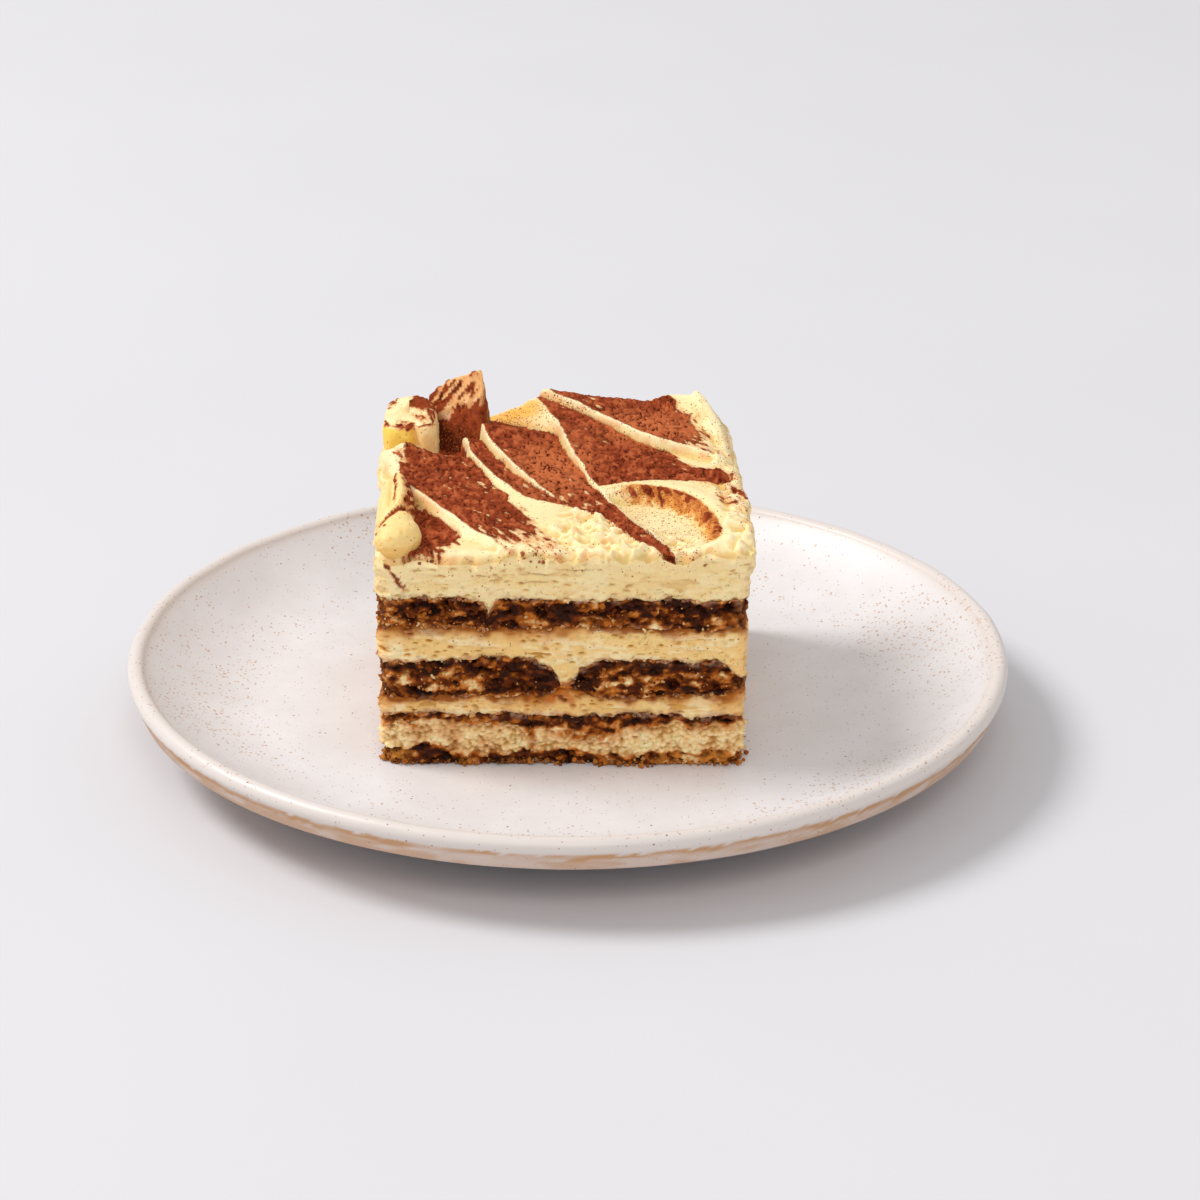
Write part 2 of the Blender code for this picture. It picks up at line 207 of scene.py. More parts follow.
def make_piece(name, places, quads, triangles=(), material=None, slot=None, replaces=(),
               smooth=True, **marks):
    """A mesh object from places in millimetres; marks are values or colours for each vertex."""
    places = np.asarray(places, np.float64).reshape(-1, 3) * MM
    quads = np.asarray(quads, np.int32).reshape(-1, 4)
    triangles = np.asarray(triangles, np.int32).reshape(-1, 3)
    mesh = bpy.data.meshes.new(name)
    mesh.vertices.add(len(places))
    mesh.vertices.foreach_set("co", places.ravel())
    corners = np.concatenate((quads.ravel(), triangles.ravel()))
    starts = np.concatenate((np.arange(len(quads)) * 4,
                             len(quads) * 4 + np.arange(len(triangles)) * 3))
    mesh.loops.add(len(corners))
    mesh.loops.foreach_set("vertex_index", corners)
    mesh.polygons.add(len(starts))
    mesh.polygons.foreach_set("loop_start", starts.astype(np.int32))
    mesh.update(calc_edges=True)
    mesh.validate()
    if smooth:
        mesh.shade_smooth()
    for mark, values in marks.items():
        values = np.asarray(values, float)
        if values.ndim > 1 and values.shape[-1] == 3:
            layer = mesh.attributes.new(mark, "FLOAT_COLOR", "POINT")
            colours = np.ones((len(places), 4))
            colours[:, :3] = values.reshape(-1, 3)
            layer.data.foreach_set("color", colours.ravel())
        else:
            layer = mesh.attributes.new(mark, "FLOAT", "POINT")
            layer.data.foreach_set("value", values.ravel())
    obj = bpy.data.objects.new(name, mesh)
    bpy.context.scene.collection.objects.link(obj)
    if material:
        mesh.materials.append(material)
    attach(obj, "root")
    if replaces:
        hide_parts(*replaces)
    return obj


# --- material helpers --------------------------------------------------------------------------

def add_node(tree, kind, inputs=None, **settings):
    """A shader node; inputs are values, or output sockets to link from."""
    node = tree.nodes.new(kind)
    for key, value in settings.items():
        setattr(node, key, value)
    for key, value in (inputs or {}).items():
        if isinstance(value, bpy.types.NodeSocket):
            tree.links.new(value, node.inputs[key])
        else:
            node.inputs[key].default_value = value
    return node


def new_group(name, inputs, outputs):
    """An empty shader node group with named sockets: name to default value."""
    group = bpy.data.node_groups.new(name, "ShaderNodeTree")
    for side, sockets in (("INPUT", inputs), ("OUTPUT", outputs)):
        for label, value in sockets.items():
            kind = {tuple: "NodeSocketColor", float: "NodeSocketFloat"}[type(value)]
            socket = group.interface.new_socket(name=label, in_out=side, socket_type=kind)
            socket.default_value = value
    start = group.nodes.new("NodeGroupInput")
    end = group.nodes.new("NodeGroupOutput")
    return group, start.outputs, end.inputs


def speckle_group():
    """Scattered round specks: a mask that is 1 inside each speck.

    Density is the share of cells that hold one, and Size its radius in cells.
    """
    group, given, result = new_group(
        "speckle", {"Scale": 1000.0, "Density": 0.3, "Size": 0.25}, {"Mask": 0.0})
    place = add_node(group, "ShaderNodeTexCoord")
    cell = add_node(group, "ShaderNodeTexVoronoi",
                    {"Vector": place.outputs["Object"], "Scale": given["Scale"]})
    pick = add_node(group, "ShaderNodeSeparateColor", {"Color": cell.outputs["Color"]})
    chosen = add_node(group, "ShaderNodeMath", {0: pick.outputs[0], 1: given["Density"]},
                      operation="LESS_THAN")
    reach = add_node(group, "ShaderNodeMath", {0: pick.outputs[1], 1: given["Size"]},
                     operation="MULTIPLY")
    edge = add_node(group, "ShaderNodeMapRange",
                    {"Value": cell.outputs["Distance"], "From Min": reach.outputs[0],
                     "From Max": given["Size"], "To Min": 1.0, "To Max": 0.0},
                    interpolation_type="SMOOTHSTEP")
    out = add_node(group, "ShaderNodeMath", {0: chosen.outputs[0], 1: edge.outputs["Result"]},
                   operation="MULTIPLY")
    group.links.new(out.outputs[0], result["Mask"])
    return group


def mottle_group():
    """Fine uneven tone: multiplies a colour by 1 ± Amount following noise of the given Scale."""
    group, given, result = new_group(
        "mottle", {"Colour": (1.0, 1.0, 1.0, 1.0), "Scale": 800.0, "Amount": 0.1},
        {"Colour": (1.0, 1.0, 1.0, 1.0), "Height": 0.0})
    place = add_node(group, "ShaderNodeTexCoord")
    grain = add_node(group, "ShaderNodeTexNoise",
                     {"Vector": place.outputs["Object"], "Scale": given["Scale"],
                      "Detail": 3.0, "Roughness": 0.6})
    low = add_node(group, "ShaderNodeMath", {0: 1.0, 1: given["Amount"]}, operation="SUBTRACT")
    high = add_node(group, "ShaderNodeMath", {0: 1.0, 1: given["Amount"]}, operation="ADD")
    gain = add_node(group, "ShaderNodeMapRange",
                    {"Value": grain.outputs["Fac"], "From Min": 0.3, "From Max": 0.7,
                     "To Min": low.outputs[0], "To Max": high.outputs[0]})
    out = add_node(group, "ShaderNodeVectorMath",
                   {0: given["Colour"], "Scale": gain.outputs["Result"]}, operation="SCALE")
    group.links.new(out.outputs["Vector"], result["Colour"])
    group.links.new(grain.outputs["Fac"], result["Height"])
    return group


def use_group(tree, group, inputs):
    node = add_node(tree, "ShaderNodeGroup", node_tree=group)
    for key, value in inputs.items():
        if isinstance(value, bpy.types.NodeSocket):
            tree.links.new(value, node.inputs[key])
        else:
            node.inputs[key].default_value = value
    return node


def new_material(name):
    material = bpy.data.materials.new(name)
    material.use_nodes = True
    shader = material.node_tree.nodes["Principled BSDF"]
    return material, material.node_tree, shader


def mix_colours(tree, share, a, b, blend="MIX"):
    node = add_node(tree, "ShaderNodeMix", data_type="RGBA", blend_type=blend)
    for socket, value in ((node.inputs["Factor"], share), (node.inputs[6], a), (node.inputs[7], b)):
        if isinstance(value, bpy.types.NodeSocket):
            tree.links.new(value, socket)
        else:
            socket.default_value = value
    return node.outputs[2]


def bump(tree, shader, height, strength, distance):
    node = add_node(tree, "ShaderNodeBump",
                    {"Height": height, "Strength": strength, "Distance": distance})
    tree.links.new(node.outputs["Normal"], shader.inputs["Normal"])
    return node


def cream_material(groups):
    """Whipped mascarpone: its own tint, dots of cocoa, knife drags where it is cut, with painted shade
    in their grooves.
    """
    material, tree, shader = new_material("whipped_cream")
    tint = add_node(tree, "ShaderNodeAttribute", attribute_name="tint")
    dust = add_node(tree, "ShaderNodeAttribute", attribute_name="dust")
    cut = add_node(tree, "ShaderNodeAttribute", attribute_name="cut")
    place = add_node(tree, "ShaderNodeTexCoord")
    flat = add_node(tree, "ShaderNodeMapping", {"Vector": place.outputs["Object"]})
    flat.inputs["Scale"].default_value = (420.0, 420.0, 1500.0)
    drags = add_node(tree, "ShaderNodeTexNoise",
                     {"Vector": flat.outputs["Vector"], "Scale": 1.0, "Detail": 2.0})
    fine = use_group(tree, groups["mottle"],
                     {"Colour": tint.outputs["Color"], "Scale": 1500.0, "Amount": 0.04})
    shown = fine.outputs["Colour"]
    # painted shade: the cream is deeper where the drag noise is low, which is where the bump dips
    dark = add_node(tree, "ShaderNodeMapRange",
                    {"Value": drags.outputs["Fac"], "From Min": 0.36, "From Max": 0.25,
                     "To Max": cut.outputs["Fac"]})
    shown = mix_colours(tree, dark.outputs["Result"], shown, (*(0.85 * CREAM_DEEP), 1.0))
    for scale, size in ((2600.0, 0.42), (1400.0, 0.34), (850.0, 0.24)):
        dots = use_group(tree, groups["speckle"],
                         {"Scale": scale, "Density": dust.outputs["Fac"], "Size": size})
        shown = mix_colours(tree, dots.outputs["Mask"], shown, (*tone(156, 74, 28), 1.0))
    tree.links.new(shown, shader.inputs["Base Color"])
    powder = add_node(tree, "ShaderNodeAttribute", attribute_name="powder")
    for socket, bare, covered in (("Roughness", 0.42, 0.95), ("Specular IOR Level", 0.35, 0.05),
                                  ("Subsurface Weight", 0.3, 0.0)):
        level_of = add_node(tree, "ShaderNodeMapRange",
                            {"Value": powder.outputs["Fac"], "To Min": bare, "To Max": covered})
        tree.links.new(level_of.outputs["Result"], shader.inputs[socket])
    drag = add_node(tree, "ShaderNodeMath", {0: drags.outputs["Fac"], 1: cut.outputs["Fac"]},
                    operation="MULTIPLY")
    height = add_node(tree, "ShaderNodeMath",
                      {0: drag.outputs[0], 1: 2.0, 2: fine.outputs["Height"]},
                      operation="MULTIPLY_ADD")
    bump(tree, shader, height.outputs[0], 0.35, 0.0003)
    shader.inputs["Subsurface Radius"].default_value = (1.0, 0.55, 0.2)
    shader.inputs["Subsurface Scale"].default_value = 0.0015
    return material


def sponge_material(groups, name, mottle, glow):
    """Sponge: its own tint, crumb-sized unevenness, moist where it is dark, and painted glints."""
    material, tree, shader = new_material(name)
    tint = add_node(tree, "ShaderNodeAttribute", attribute_name="tint")
    wet = add_node(tree, "ShaderNodeAttribute", attribute_name="wet")
    fine = use_group(tree, groups["mottle"],
                     {"Colour": tint.outputs["Color"], "Scale": 1400.0, "Amount": mottle})
    # painted glints: small light specks that stand in for highlights on the crumb
    glint = use_group(tree, groups["speckle"], {"Scale": 1400.0, "Density": 0.035, "Size": 0.3})
    shown = mix_colours(tree, glint.outputs["Mask"], fine.outputs["Colour"],
                        (*tone(236, 176, 116), 1.0))
    tree.links.new(shown, shader.inputs["Base Color"])
    gloss = add_node(tree, "ShaderNodeMapRange",
                     {"Value": wet.outputs["Fac"], "To Min": 0.75, "To Max": 0.3})
    tree.links.new(gloss.outputs["Result"], shader.inputs["Roughness"])
    bump(tree, shader, fine.outputs["Height"], 0.6, 0.0004)
    shader.inputs["Specular IOR Level"].default_value = 0.08
    shader.inputs["Subsurface Weight"].default_value = glow
    shader.inputs["Subsurface Radius"].default_value = (1.0, 0.5, 0.2)
    shader.inputs["Subsurface Scale"].default_value = 0.001
    return material


def cocoa_material(groups):
    """Cocoa powder: matt, reddish brown, matted into tiny flakes."""
    material, tree, shader = new_material("cocoa_powder")
    tint = add_node(tree, "ShaderNodeAttribute", attribute_name="tint")
    fine = use_group(tree, groups["mottle"],
                     {"Colour": tint.outputs["Color"], "Scale": 1600.0, "Amount": 0.14})
    tree.links.new(fine.outputs["Colour"], shader.inputs["Base Color"])
    bump(tree, shader, fine.outputs["Height"], 0.5, 0.0003)
    shader.inputs["Roughness"].default_value = 0.95
    shader.inputs["Specular IOR Level"].default_value = 0.05
    return material


def glaze_material(groups):
    """Warm grey-white stoneware glaze with iron specks, a whiter rim and a bare clay line."""
    material, tree, shader = new_material("speckled_glaze")
    rim = add_node(tree, "ShaderNodeAttribute", attribute_name="rim")
    bare = add_node(tree, "ShaderNodeAttribute", attribute_name="bare")
    wall = add_node(tree, "ShaderNodeAttribute", attribute_name="wall")
    place = add_node(tree, "ShaderNodeTexCoord")
    cloud = add_node(tree, "ShaderNodeTexNoise",
                     {"Vector": place.outputs["Object"], "Scale": 60.0, "Detail": 5.0,
                      "Roughness": 0.6})
    body = mix_colours(tree, cloud.outputs["Fac"], (*tone(214, 208, 205), 1.0),
                       (*tone(237, 234, 235), 1.0))
    body = mix_colours(tree, rim.outputs["Fac"], body, (*tone(221, 211, 204), 1.0))
    fine = use_group(tree, groups["speckle"], {"Scale": 1250.0, "Density": 0.26, "Size": 0.23})
    body = mix_colours(tree, fine.outputs["Mask"], body, (*tone(186, 146, 118), 1.0))
    broad = use_group(tree, groups["speckle"], {"Scale": 760.0, "Density": 0.07, "Size": 0.2})
    body = mix_colours(tree, broad.outputs["Mask"], body, (*tone(150, 104, 76), 1.0))
    for scale, size in ((1050.0, 0.36), (640.0, 0.26)):
        blot = use_group(tree, groups["speckle"],
                         {"Scale": scale, "Density": wall.outputs["Fac"], "Size": size})
        body = mix_colours(tree, blot.outputs["Mask"], body, (*tone(202, 170, 148), 1.0))
    body = mix_colours(tree, bare.outputs["Fac"], body, (*tone(198, 152, 110), 1.0))
    tree.links.new(body, shader.inputs["Base Color"])
    gloss = add_node(tree, "ShaderNodeMapRange",
                     {"Value": bare.outputs["Fac"], "To Min": 0.4, "To Max": 0.8})
    tree.links.new(gloss.outputs["Result"], shader.inputs["Roughness"])
    bump(tree, shader, cloud.outputs["Fac"], 0.3, 0.0008)
    return material


# --- plate -------------------------------------------------------------------------------------

RIM_ROLL = 2.0
WELL_RADIUS = 70.0
FOOT_RADIUS, FOOT_WIDTH, FOOT_HEIGHT, FOOT_RECESS = 60.0, 6.0, 3.0, 2.5
WALL_LEAN, WALL_DROP = math.radians(23), 4.5


def plate_profile():
    """Radius and height along the plate's half section, from the well's middle over the rim.

    The well is level, then rises with the square of the way out; the rim is an arc; the outer
    wall leans in, then eases to the foot with the power 2.2.
    """
    roll_r, roll_z = PLATE_RADIUS - RIM_ROLL, RIM_TOP - RIM_ROLL
    a = np.linspace(math.pi * 0.85, -WALL_LEAN, 26)
    rim = np.stack((roll_r + RIM_ROLL * np.cos(a), roll_z + RIM_ROLL * np.sin(a)), 1)
    t = np.linspace(0, 1, 36)[1:-1, None]
    well = np.stack((np.linspace(0.5, WELL_RADIUS, 46), np.full(46, WELL_FLOOR)), 1)
    sweep = np.concatenate((well[-1] + (rim[0] - well[-1]) * np.concatenate((t, t**2), 1),))
    down = np.linspace(0, 1, 8)[1:, None]
    wall_foot = rim[-1] - (WALL_DROP * math.tan(WALL_LEAN), WALL_DROP)
    wall = rim[-1] + (wall_foot - rim[-1]) * down
    foot_top = np.array((FOOT_RADIUS, FOOT_HEIGHT))
    under = foot_top + (wall_foot - foot_top) * np.concatenate((t, t**2.2), 1)
    inner = FOOT_RADIUS - FOOT_WIDTH
    foot = np.array((foot_top, (FOOT_RADIUS - 0.3, 1.0), (FOOT_RADIUS - 1.2, 0.0),
                     (inner + 1.2, 0.0), (inner + 0.3, 1.0), (inner, FOOT_RECESS)))
    recess = np.stack((np.linspace(inner, 0.5, 12)[1:], np.full(11, FOOT_RECESS)), 1)
    return np.concatenate((well, sweep, rim, wall, under[::-1], foot, recess)), len(well) + len(sweep)


def make_plate(material):
    """The profile turned round the axis, with the slight unevenness of a thrown plate.

    Radius and height vary by slow waves of the angle, the more the further out, and by noise.
    """
    profile, rim_start = plate_profile()
    turns = 420
    angle = np.linspace(0, 2 * math.pi, turns, endpoint=False)
    r, z = profile[:, :1], profile[:, 1:]
    out = (r / PLATE_RADIUS) ** 4
    p = points(r * np.cos(angle), r * np.sin(angle), z)
    wave = 0.3 * np.sin(2 * angle + 0.7) + 0.2 * np.sin(3 * angle + 2.0)
    dent = 0.12 * noise(p, 9.0, 3)
    above = ease(z, 0.5, 4.0)
    radius = r + out * (0.1 + 0.25 * np.sin(3 * angle + 1.0) + dent)
    height = z + above * out * (0.6 * wave + dent) - 0.25 * out * above
    along = np.arange(len(profile))[:, None] + 0 * angle
    edge = ease(r, PLATE_RADIUS - 6.0, PLATE_RADIUS - 3.0) * ease(z, 15.6, 16.6)
    outside = (along > rim_start + 13)
    drips = z + 0.5 * noise(p, (2.0, 2.0, 9.0), 12) + 0.3 * noise(p, (0.7, 0.7, 9.0), 13)
    line = (ease(drips, 14.9, 15.5) - ease(drips, 16.7, 17.0)) * outside
    ragged = 0.55 + 0.45 * ease(noise(p, (7.0, 7.0, 0.6), 11), -0.5, 0.2)
    streak = ease(noise(p, (5.0, 5.0, 2.2), 21), 0.25, 0.6) * outside * ease(z, 8, 12)
    clay = 0.5 + 0.3 * ease(rough_noise(p, (8.0, 8.0, 2.0), 22), -0.2, 0.4)
    clay = clay * outside * ease(z, 16, 15) * ease(z, 5, 9)
    steep = ease(r, WELL_RADIUS - 4, WELL_RADIUS + 8) * ~outside
    blotch = 0.5 * steep * ease(noise(p, 26.0, 31), -0.3, 0.5)
    places = points(radius * np.cos(angle), radius * np.sin(angle), height)
    count = len(profile) * turns
    quads = grid_quads(len(profile), turns, True)[:, ::-1]
    ring = np.arange(turns)
    over = np.stack((np.full(turns, count), ring, np.roll(ring, -1)), 1)
    last = count - turns
    under = np.stack((np.full(turns, count + 1), last + np.roll(ring, -1), last + ring), 1)
    places = np.concatenate((places.reshape(-1, 3), ((0, 0, profile[0, 1]), (0, 0, profile[-1, 1]))))
    pad = lambda v: np.concatenate((np.broadcast_to(v, (len(profile), turns)).ravel(), (0, 0)))
    return make_piece("plate_thrown", places, quads, np.concatenate((over, under)), material,
                      "plate_glaze", ("plate",), rim=pad(np.maximum(edge, streak)),
                      bare=pad(np.maximum(line * ragged, clay)), wall=pad(blotch))


# --- the block's outline and the surfaces between layers ------------------------------------

def outline(x0, x1, spacing, round_left=CORNER, round_right=CORNER):
    """A rectangle with rounded corners, as evenly spaced places and outward directions.

    It runs from the front left corner to the right, round the block and back.
    """
    bend = np.linspace(0, math.pi / 2, 7)
    path = []
    for cx, cy, r, start in ((x1, FRONT, round_right, -math.pi / 2), (x1, BACK, round_right, 0),
                             (x0, BACK, round_left, math.pi / 2), (x0, FRONT, round_left, math.pi)):
        mx = cx - r if cx == x1 else cx + r
        my = cy - r if cy == BACK else cy + r
        path.append(np.stack((mx + r * np.cos(start + bend), my + r * np.sin(start + bend)), 1))
    path = np.concatenate(path)
    path = np.concatenate((path[-1:], path))
    gone = np.concatenate(((0,), np.cumsum(np.hypot(*np.diff(path, axis=0).T))))
    s = np.linspace(0, gone[-1], round(gone[-1] / spacing), endpoint=False)
    x, y = np.interp(s, gone, path[:, 0]), np.interp(s, gone, path[:, 1])
    tx, ty = np.roll(x, -1) - np.roll(x, 1), np.roll(y, -1) - np.roll(y, 1)
    size = np.hypot(tx, ty)
    return x, y, ty / size, -tx / size


def waviness(x, y, height, seed):
    """How far a layer boundary strays from level: slow waves and a ragged fine edge."""
    p = points(x, y, height)
    return (0.45 * noise(p, 15.0, seed) + 0.4 * noise(p, 4.5, seed + 3)
            + 0.42 * rough_noise(p, 1.9, seed + 5, 2, 0.6))


def finger_surface(x, y, layer, side):
    """Height of the finger layer's underside (side -1) or top (side 1).

    Towards the joint between the fingers each one rounds off: over its rounding length its
    thickness falls as the root of 1 - u², so the surface runs to where the creams meet.
    """
    low, high, joint, round_left, round_right, meet = LAYERS[layer]
    p = points(x, y, meet)
    ragged = 0.7 * noise(p, 2.6, 201) + 0.3 * noise(p, 1.1, 202)
    inside = np.abs(x - joint) + ragged
    inside = inside - (0.9 if layer == "middle" else 0.0)
    u = np.clip(1 - inside / np.where(x < joint, round_left, round_right), 0, 1)
    if layer == "bottom":
        u = u * 0.4
    if layer == "top" and side < 0:
        u = 0 * u
    mean = low if side < 0 else high
    curve = np.clip(1 - u**1.7, 0, 1) ** 0.6
    if layer == "middle":
        curve = curve * (1 - 0.7 * ease(x, RIGHT - 6.5, RIGHT - 0.5) * ease(y, -10, -34))
    wander = waviness(x, y, mean, int(mean * 3))
    wander = wander * (0.0 if layer == "bottom" and side < 0 else 1.0)
    return meet + (mean + wander - meet) * curve


def spread(z):
    """How far the block's sides stand out at a height: they lean out a little upwards."""
    return 0.5 * ease(z, 10, 50) - 0.3


def make_layer(name, x0, x1, under, over, push, colour, material, slot, replaces,
               spacing=0.27, ends=(CORNER, CORNER), mark="wet"):
    """A closed layer between two height surfaces, within an outline.

    under(x, y) and over(x, y) give its underside and top; push(p, down, up) how far the wall
    stands out where p is the place and down and up are the distances to the layer's two edges;
    colour(...) the wall's tint and wetness.
    """
    x, y, nx, ny = outline(x0, x1, spacing, *ends)
    low, high = under(x, y), over(x, y)
    high = np.maximum(high, low + 0.15)
    rows = max(4, round(float(np.max(high - low)) / spacing) + 1)
    t = np.linspace(0, 1, rows)[:, None]
    z = low + (high - low) * t
    p = points(x, y, z)
    down, up = z - low, high - z
    out = push(p, down, up)
    lean = spread(z)
    wall = points(x + nx * (out + lean), y + ny * (out + 0.35 * lean), z)
    columns = len(x)
    caps = []
    for row, surface in ((0, under), (rows - 1, over)):
        for share in (0.04, 0.5):
            cx = wall[row, :, 0] * (1 - share) + (x0 + x1) / 2 * share
            cy = wall[row, :, 1] * (1 - share)
            caps.append(points(cx, cy, surface(cx, cy)))
    middle = np.array([(x0 + x1) / 2])
    tips = [((x0 + x1) / 2, 0.0, float(surface(middle, 0 * middle)[0])) for surface in (under, over)]
    places = np.concatenate([wall.reshape(-1, 3)] + caps + [np.array(tips)])
    quads = [grid_quads(rows, columns, True)]
    ring = np.arange(columns)
    nxt = np.roll(ring, -1)
    first = rows * columns
    for edge, inner, up_side in ((0, first, False), (first, first + columns, False),
                                 ((rows - 1) * columns, first + 2 * columns, True),
                                 (first + 2 * columns, first + 3 * columns, True)):
        band = np.stack((edge + ring, edge + nxt, inner + nxt, inner + ring), 1)
        quads.append(band if up_side else band[:, ::-1])
    low_tip, high_tip = len(places) - 2, len(places) - 1
    a, b = first + columns, first + 3 * columns
    triangles = np.concatenate((np.stack((a + nxt, a + ring, np.full(columns, low_tip)), 1),
                                np.stack((b + ring, b + nxt, np.full(columns, high_tip)), 1)))
    tint, wet = colour(p, down, up, out)
    extra = len(places) - rows * columns
    rest = np.concatenate((tint[0], tint[0], tint[-1], tint[-1], tint[0, :1], tint[-1, :1]))
    tint = np.concatenate((tint.reshape(-1, 3), rest))
    wet = np.concatenate((wet.ravel(), np.full(extra, 0.5)))
    return make_piece(name, places, np.concatenate(quads), triangles, material, slot, replaces,
                      tint=tint, dust=np.full(len(places), 0.012), cut=np.ones(len(places)),
                      **{mark: wet})


# --- cut cream -----------------------------------------------------------------------------

def in_gap(p):
    """1 where the creams over and under a layer meet between its two fingers."""
    near = 0.0
    for layer, width in (("middle", 2.6), ("top", 1.0)):
        _, _, joint, _, _, meet = LAYERS[layer]
        near = near + np.exp(-((p[..., 0] - joint) / width) ** 2 - ((p[..., 2] - meet) / 1.6) ** 2)
    return np.clip(near, 0, 1)


def cream_push(p, down, up):
    """Cut cream: knife drags as long thin ledges, flat pores, and a soft unevenness."""
    ledge = 1 - np.abs(noise(p, (8.0, 8.0, 1.9), 40))
    fine = 1 - np.abs(noise(p, (3.0, 3.0, 0.8), 41))
    soft = 0.45 * noise(p, (6.0, 6.0, 3.0), 42)
    first, _, number = lumps(p, (2.4, 2.4, 1.1), 43)
    pores = 0.75 * ease(first, 0.42, 0.15) * (number > 0.62)
    edge = 0.35 * ease(np.minimum(down, up), 0.6, 0.0) * (1 - in_gap(p))
    torn = 0.22 * rough_noise(p, (1.8, 1.8, 1.0), 44, 2)
    bits = 0.4 * ease(rough_noise(p, (1.3, 1.3, 1.0), 46, 2), 0.1, 0.5) * ease(down, 1.8, 0.3)
    cracks = 0.5 * cream_cracks(p)
    return 0.5 * ledge + 0.3 * fine + soft + torn + bits - pores - cracks - edge - 0.45


def cream_cracks(p):
    """1 along thin wavering cracks in the cut cream, more of them higher up."""
    line = np.abs(noise(p, (6.0, 6.0, 1.5), 47)) + 0.25 * noise(p, (3.0, 3.0, 2.0), 48)
    where = noise(p, (7.0, 7.0, 3.0), 49) + 0.25 * ease(p[..., 2], 47, 54)
    return ease(line, 0.07, 0.01) * ease(where, 0.05, 0.4)


def cream_colour(p, down, up, out, stain=1.0):
    """Cut cream: pale, with painted shade in its pores and painted highlight on its bumps, greyish pink
    just above sponge, stained below it.
    """
    x, z = p[..., 0], p[..., 2]
    gap = in_gap(p)
    tint = np.broadcast_to(CREAM_CUT, p.shape).copy()
    warm = 0.1 + 0.22 * noise(p, (9.0, 9.0, 4.0), 50) + 0.2 * ease(z, 46, 18)
    tint = mix(tint, CREAM_DEEP, np.clip(warm, 0, 1))
    # painted shade where the wall is pushed in, painted highlight where it stands out
    tint = mix(tint, 0.85 * CREAM_DEEP, 0.9 * ease(out, -0.15, -0.75))
    tint = mix(tint, CREAM_PALE, 0.7 * ease(out, 0.12, 0.5))
    rag = noise(p, 2.0, 51)
    band = down + 0.6 * rag
    pink = ease(band, 1.3, 0.0) * ease(noise(p, 6.0, 56), -0.8, 0.2) * (1 - gap)
    tint = mix(tint, CREAM_PINK, 0.7 * pink)
    crumb = ease(noise(p, (1.6, 1.6, 1.0), 57), 0.1, 0.45)
    tint = mix(tint, WET_TONES[1] * 0.8, 0.8 * crumb * ease(down, 1.2, 0.2) * (1 - gap))
    patchy = ease(noise(p, (6.0, 6.0, 14.0), 52), -0.5, 0.6)
    glow = ease(up - 0.8 * noise(p, 2.4, 59), 2.4 + 3.2 * patchy, 0.3)
    glow = glow * (0.45 + 0.55 * patchy)
    tint = mix(tint, tone(206, 118, 14), stain * 0.8 * glow)
    # painted shade: the cracks are tinted deeper amber
    tint = mix(tint, AMBER * 0.75, 0.75 * cream_cracks(p))
    side = ease(np.abs(x - MIDDLE_X), WIDTH / 2 - 3.0, WIDTH / 2 - 0.5)
    tint = mix(tint, tone(246, 190, 120), 0.4 * side)
    soak = ease(up - 0.9 * noise(p, 1.4, 54), 1.5 + 1.6 * patchy, 0.1)
    tint = mix(tint, tone(150, 74, 8), stain * 0.9 * soak)
    tint = mix(tint, WET_TONES[2], stain * 0.8 * crumb * ease(up, 1.0, 0.1))
    seam = np.exp(-((x + 1.0) / 4.6) ** 2 - ((z - 22.9) / 2.6) ** 2)
    seam = seam + 0.9 * np.exp(-((x - 0.2) / 2.6) ** 2 - ((z - 26.4) / 1.5) ** 2)
    tint = mix(tint, STAIN, stain * 0.85 * ease(seam + 0.45 * noise(p, 1.6, 55), 0.35, 0.95))
    tint = mix(tint, WET_TONES[2], stain * 0.9 * ease(seam + 0.7 * noise(p, 1.1, 58), 1.0, 1.35))
    first, _, number = lumps(p, 1.25, 53)
    tint = mix(tint, SPECK, 0.8 * ease(first, 0.2, 0.1) * (number > 0.7))
    return tint, 0.75 * stain * np.maximum(glow, soak)


# --- sponge fingers ------------------------------------------------------------------------

def sponge_push(p, down, up, wet):
    """Torn crumb: chunks that stand out by different amounts, smaller lumps, and pits.

    Dry sponge is softer, of rounded lumps only.  Where a finger thins out it draws back.
    """
    a, b, number = lumps(p, (2.4, 2.4, 1.5), 60)
    small, _, other = lumps(p, (1.1, 1.1, 0.85), 61)
    hole = ease(rough_noise(p, (2.6, 2.6, 1.6), 62, 2), -0.15, -0.65)
    chunk = 1.35 * (number - 0.5) * ease(b - a, 0.0, 0.3)
    torn = chunk + 0.6 * (other - 0.5) + 0.5 * (0.5 - small) - 0.8 * hole
    soft = 0.6 * rough_noise(p, (1.9, 1.9, 1.3), 63, 3, 0.6) + 1.3 * (0.5 - small)
    dark = ease(wet, 0.1, 0.6)
    corner = ease(np.abs(p[..., 0] - MIDDLE_X), WIDTH / 2 - 3.0, WIDTH / 2 - 0.5)
    away = 0.05 + 0.6 * corner * dark + 1.1 * ease(down + up, 1.8, 0.3)
    return dark * torn + (1 - dark) * soft - away


def wet_top(p, down, up):
    """Top fingers: nearly black for the upper half, brown with amber patches below."""
    band = ease(up + 1.3 * noise(p, 3.0, 70), 4.6, 2.6)
    rim = ease(up + 0.7 * noise(p, 1.6, 79), 1.5, 0.3)
    left = ease(p[..., 0], -33, -39)
    foot = ease(down + 0.6 * noise(p, 1.6, 89), 1.3, 0.2)
    wet = 0.56 + 0.34 * band + 0.25 * noise(p, (3.5, 3.5, 1.8), 71)
    return wet - 0.42 * rim - 0.15 * left - 0.12 * foot


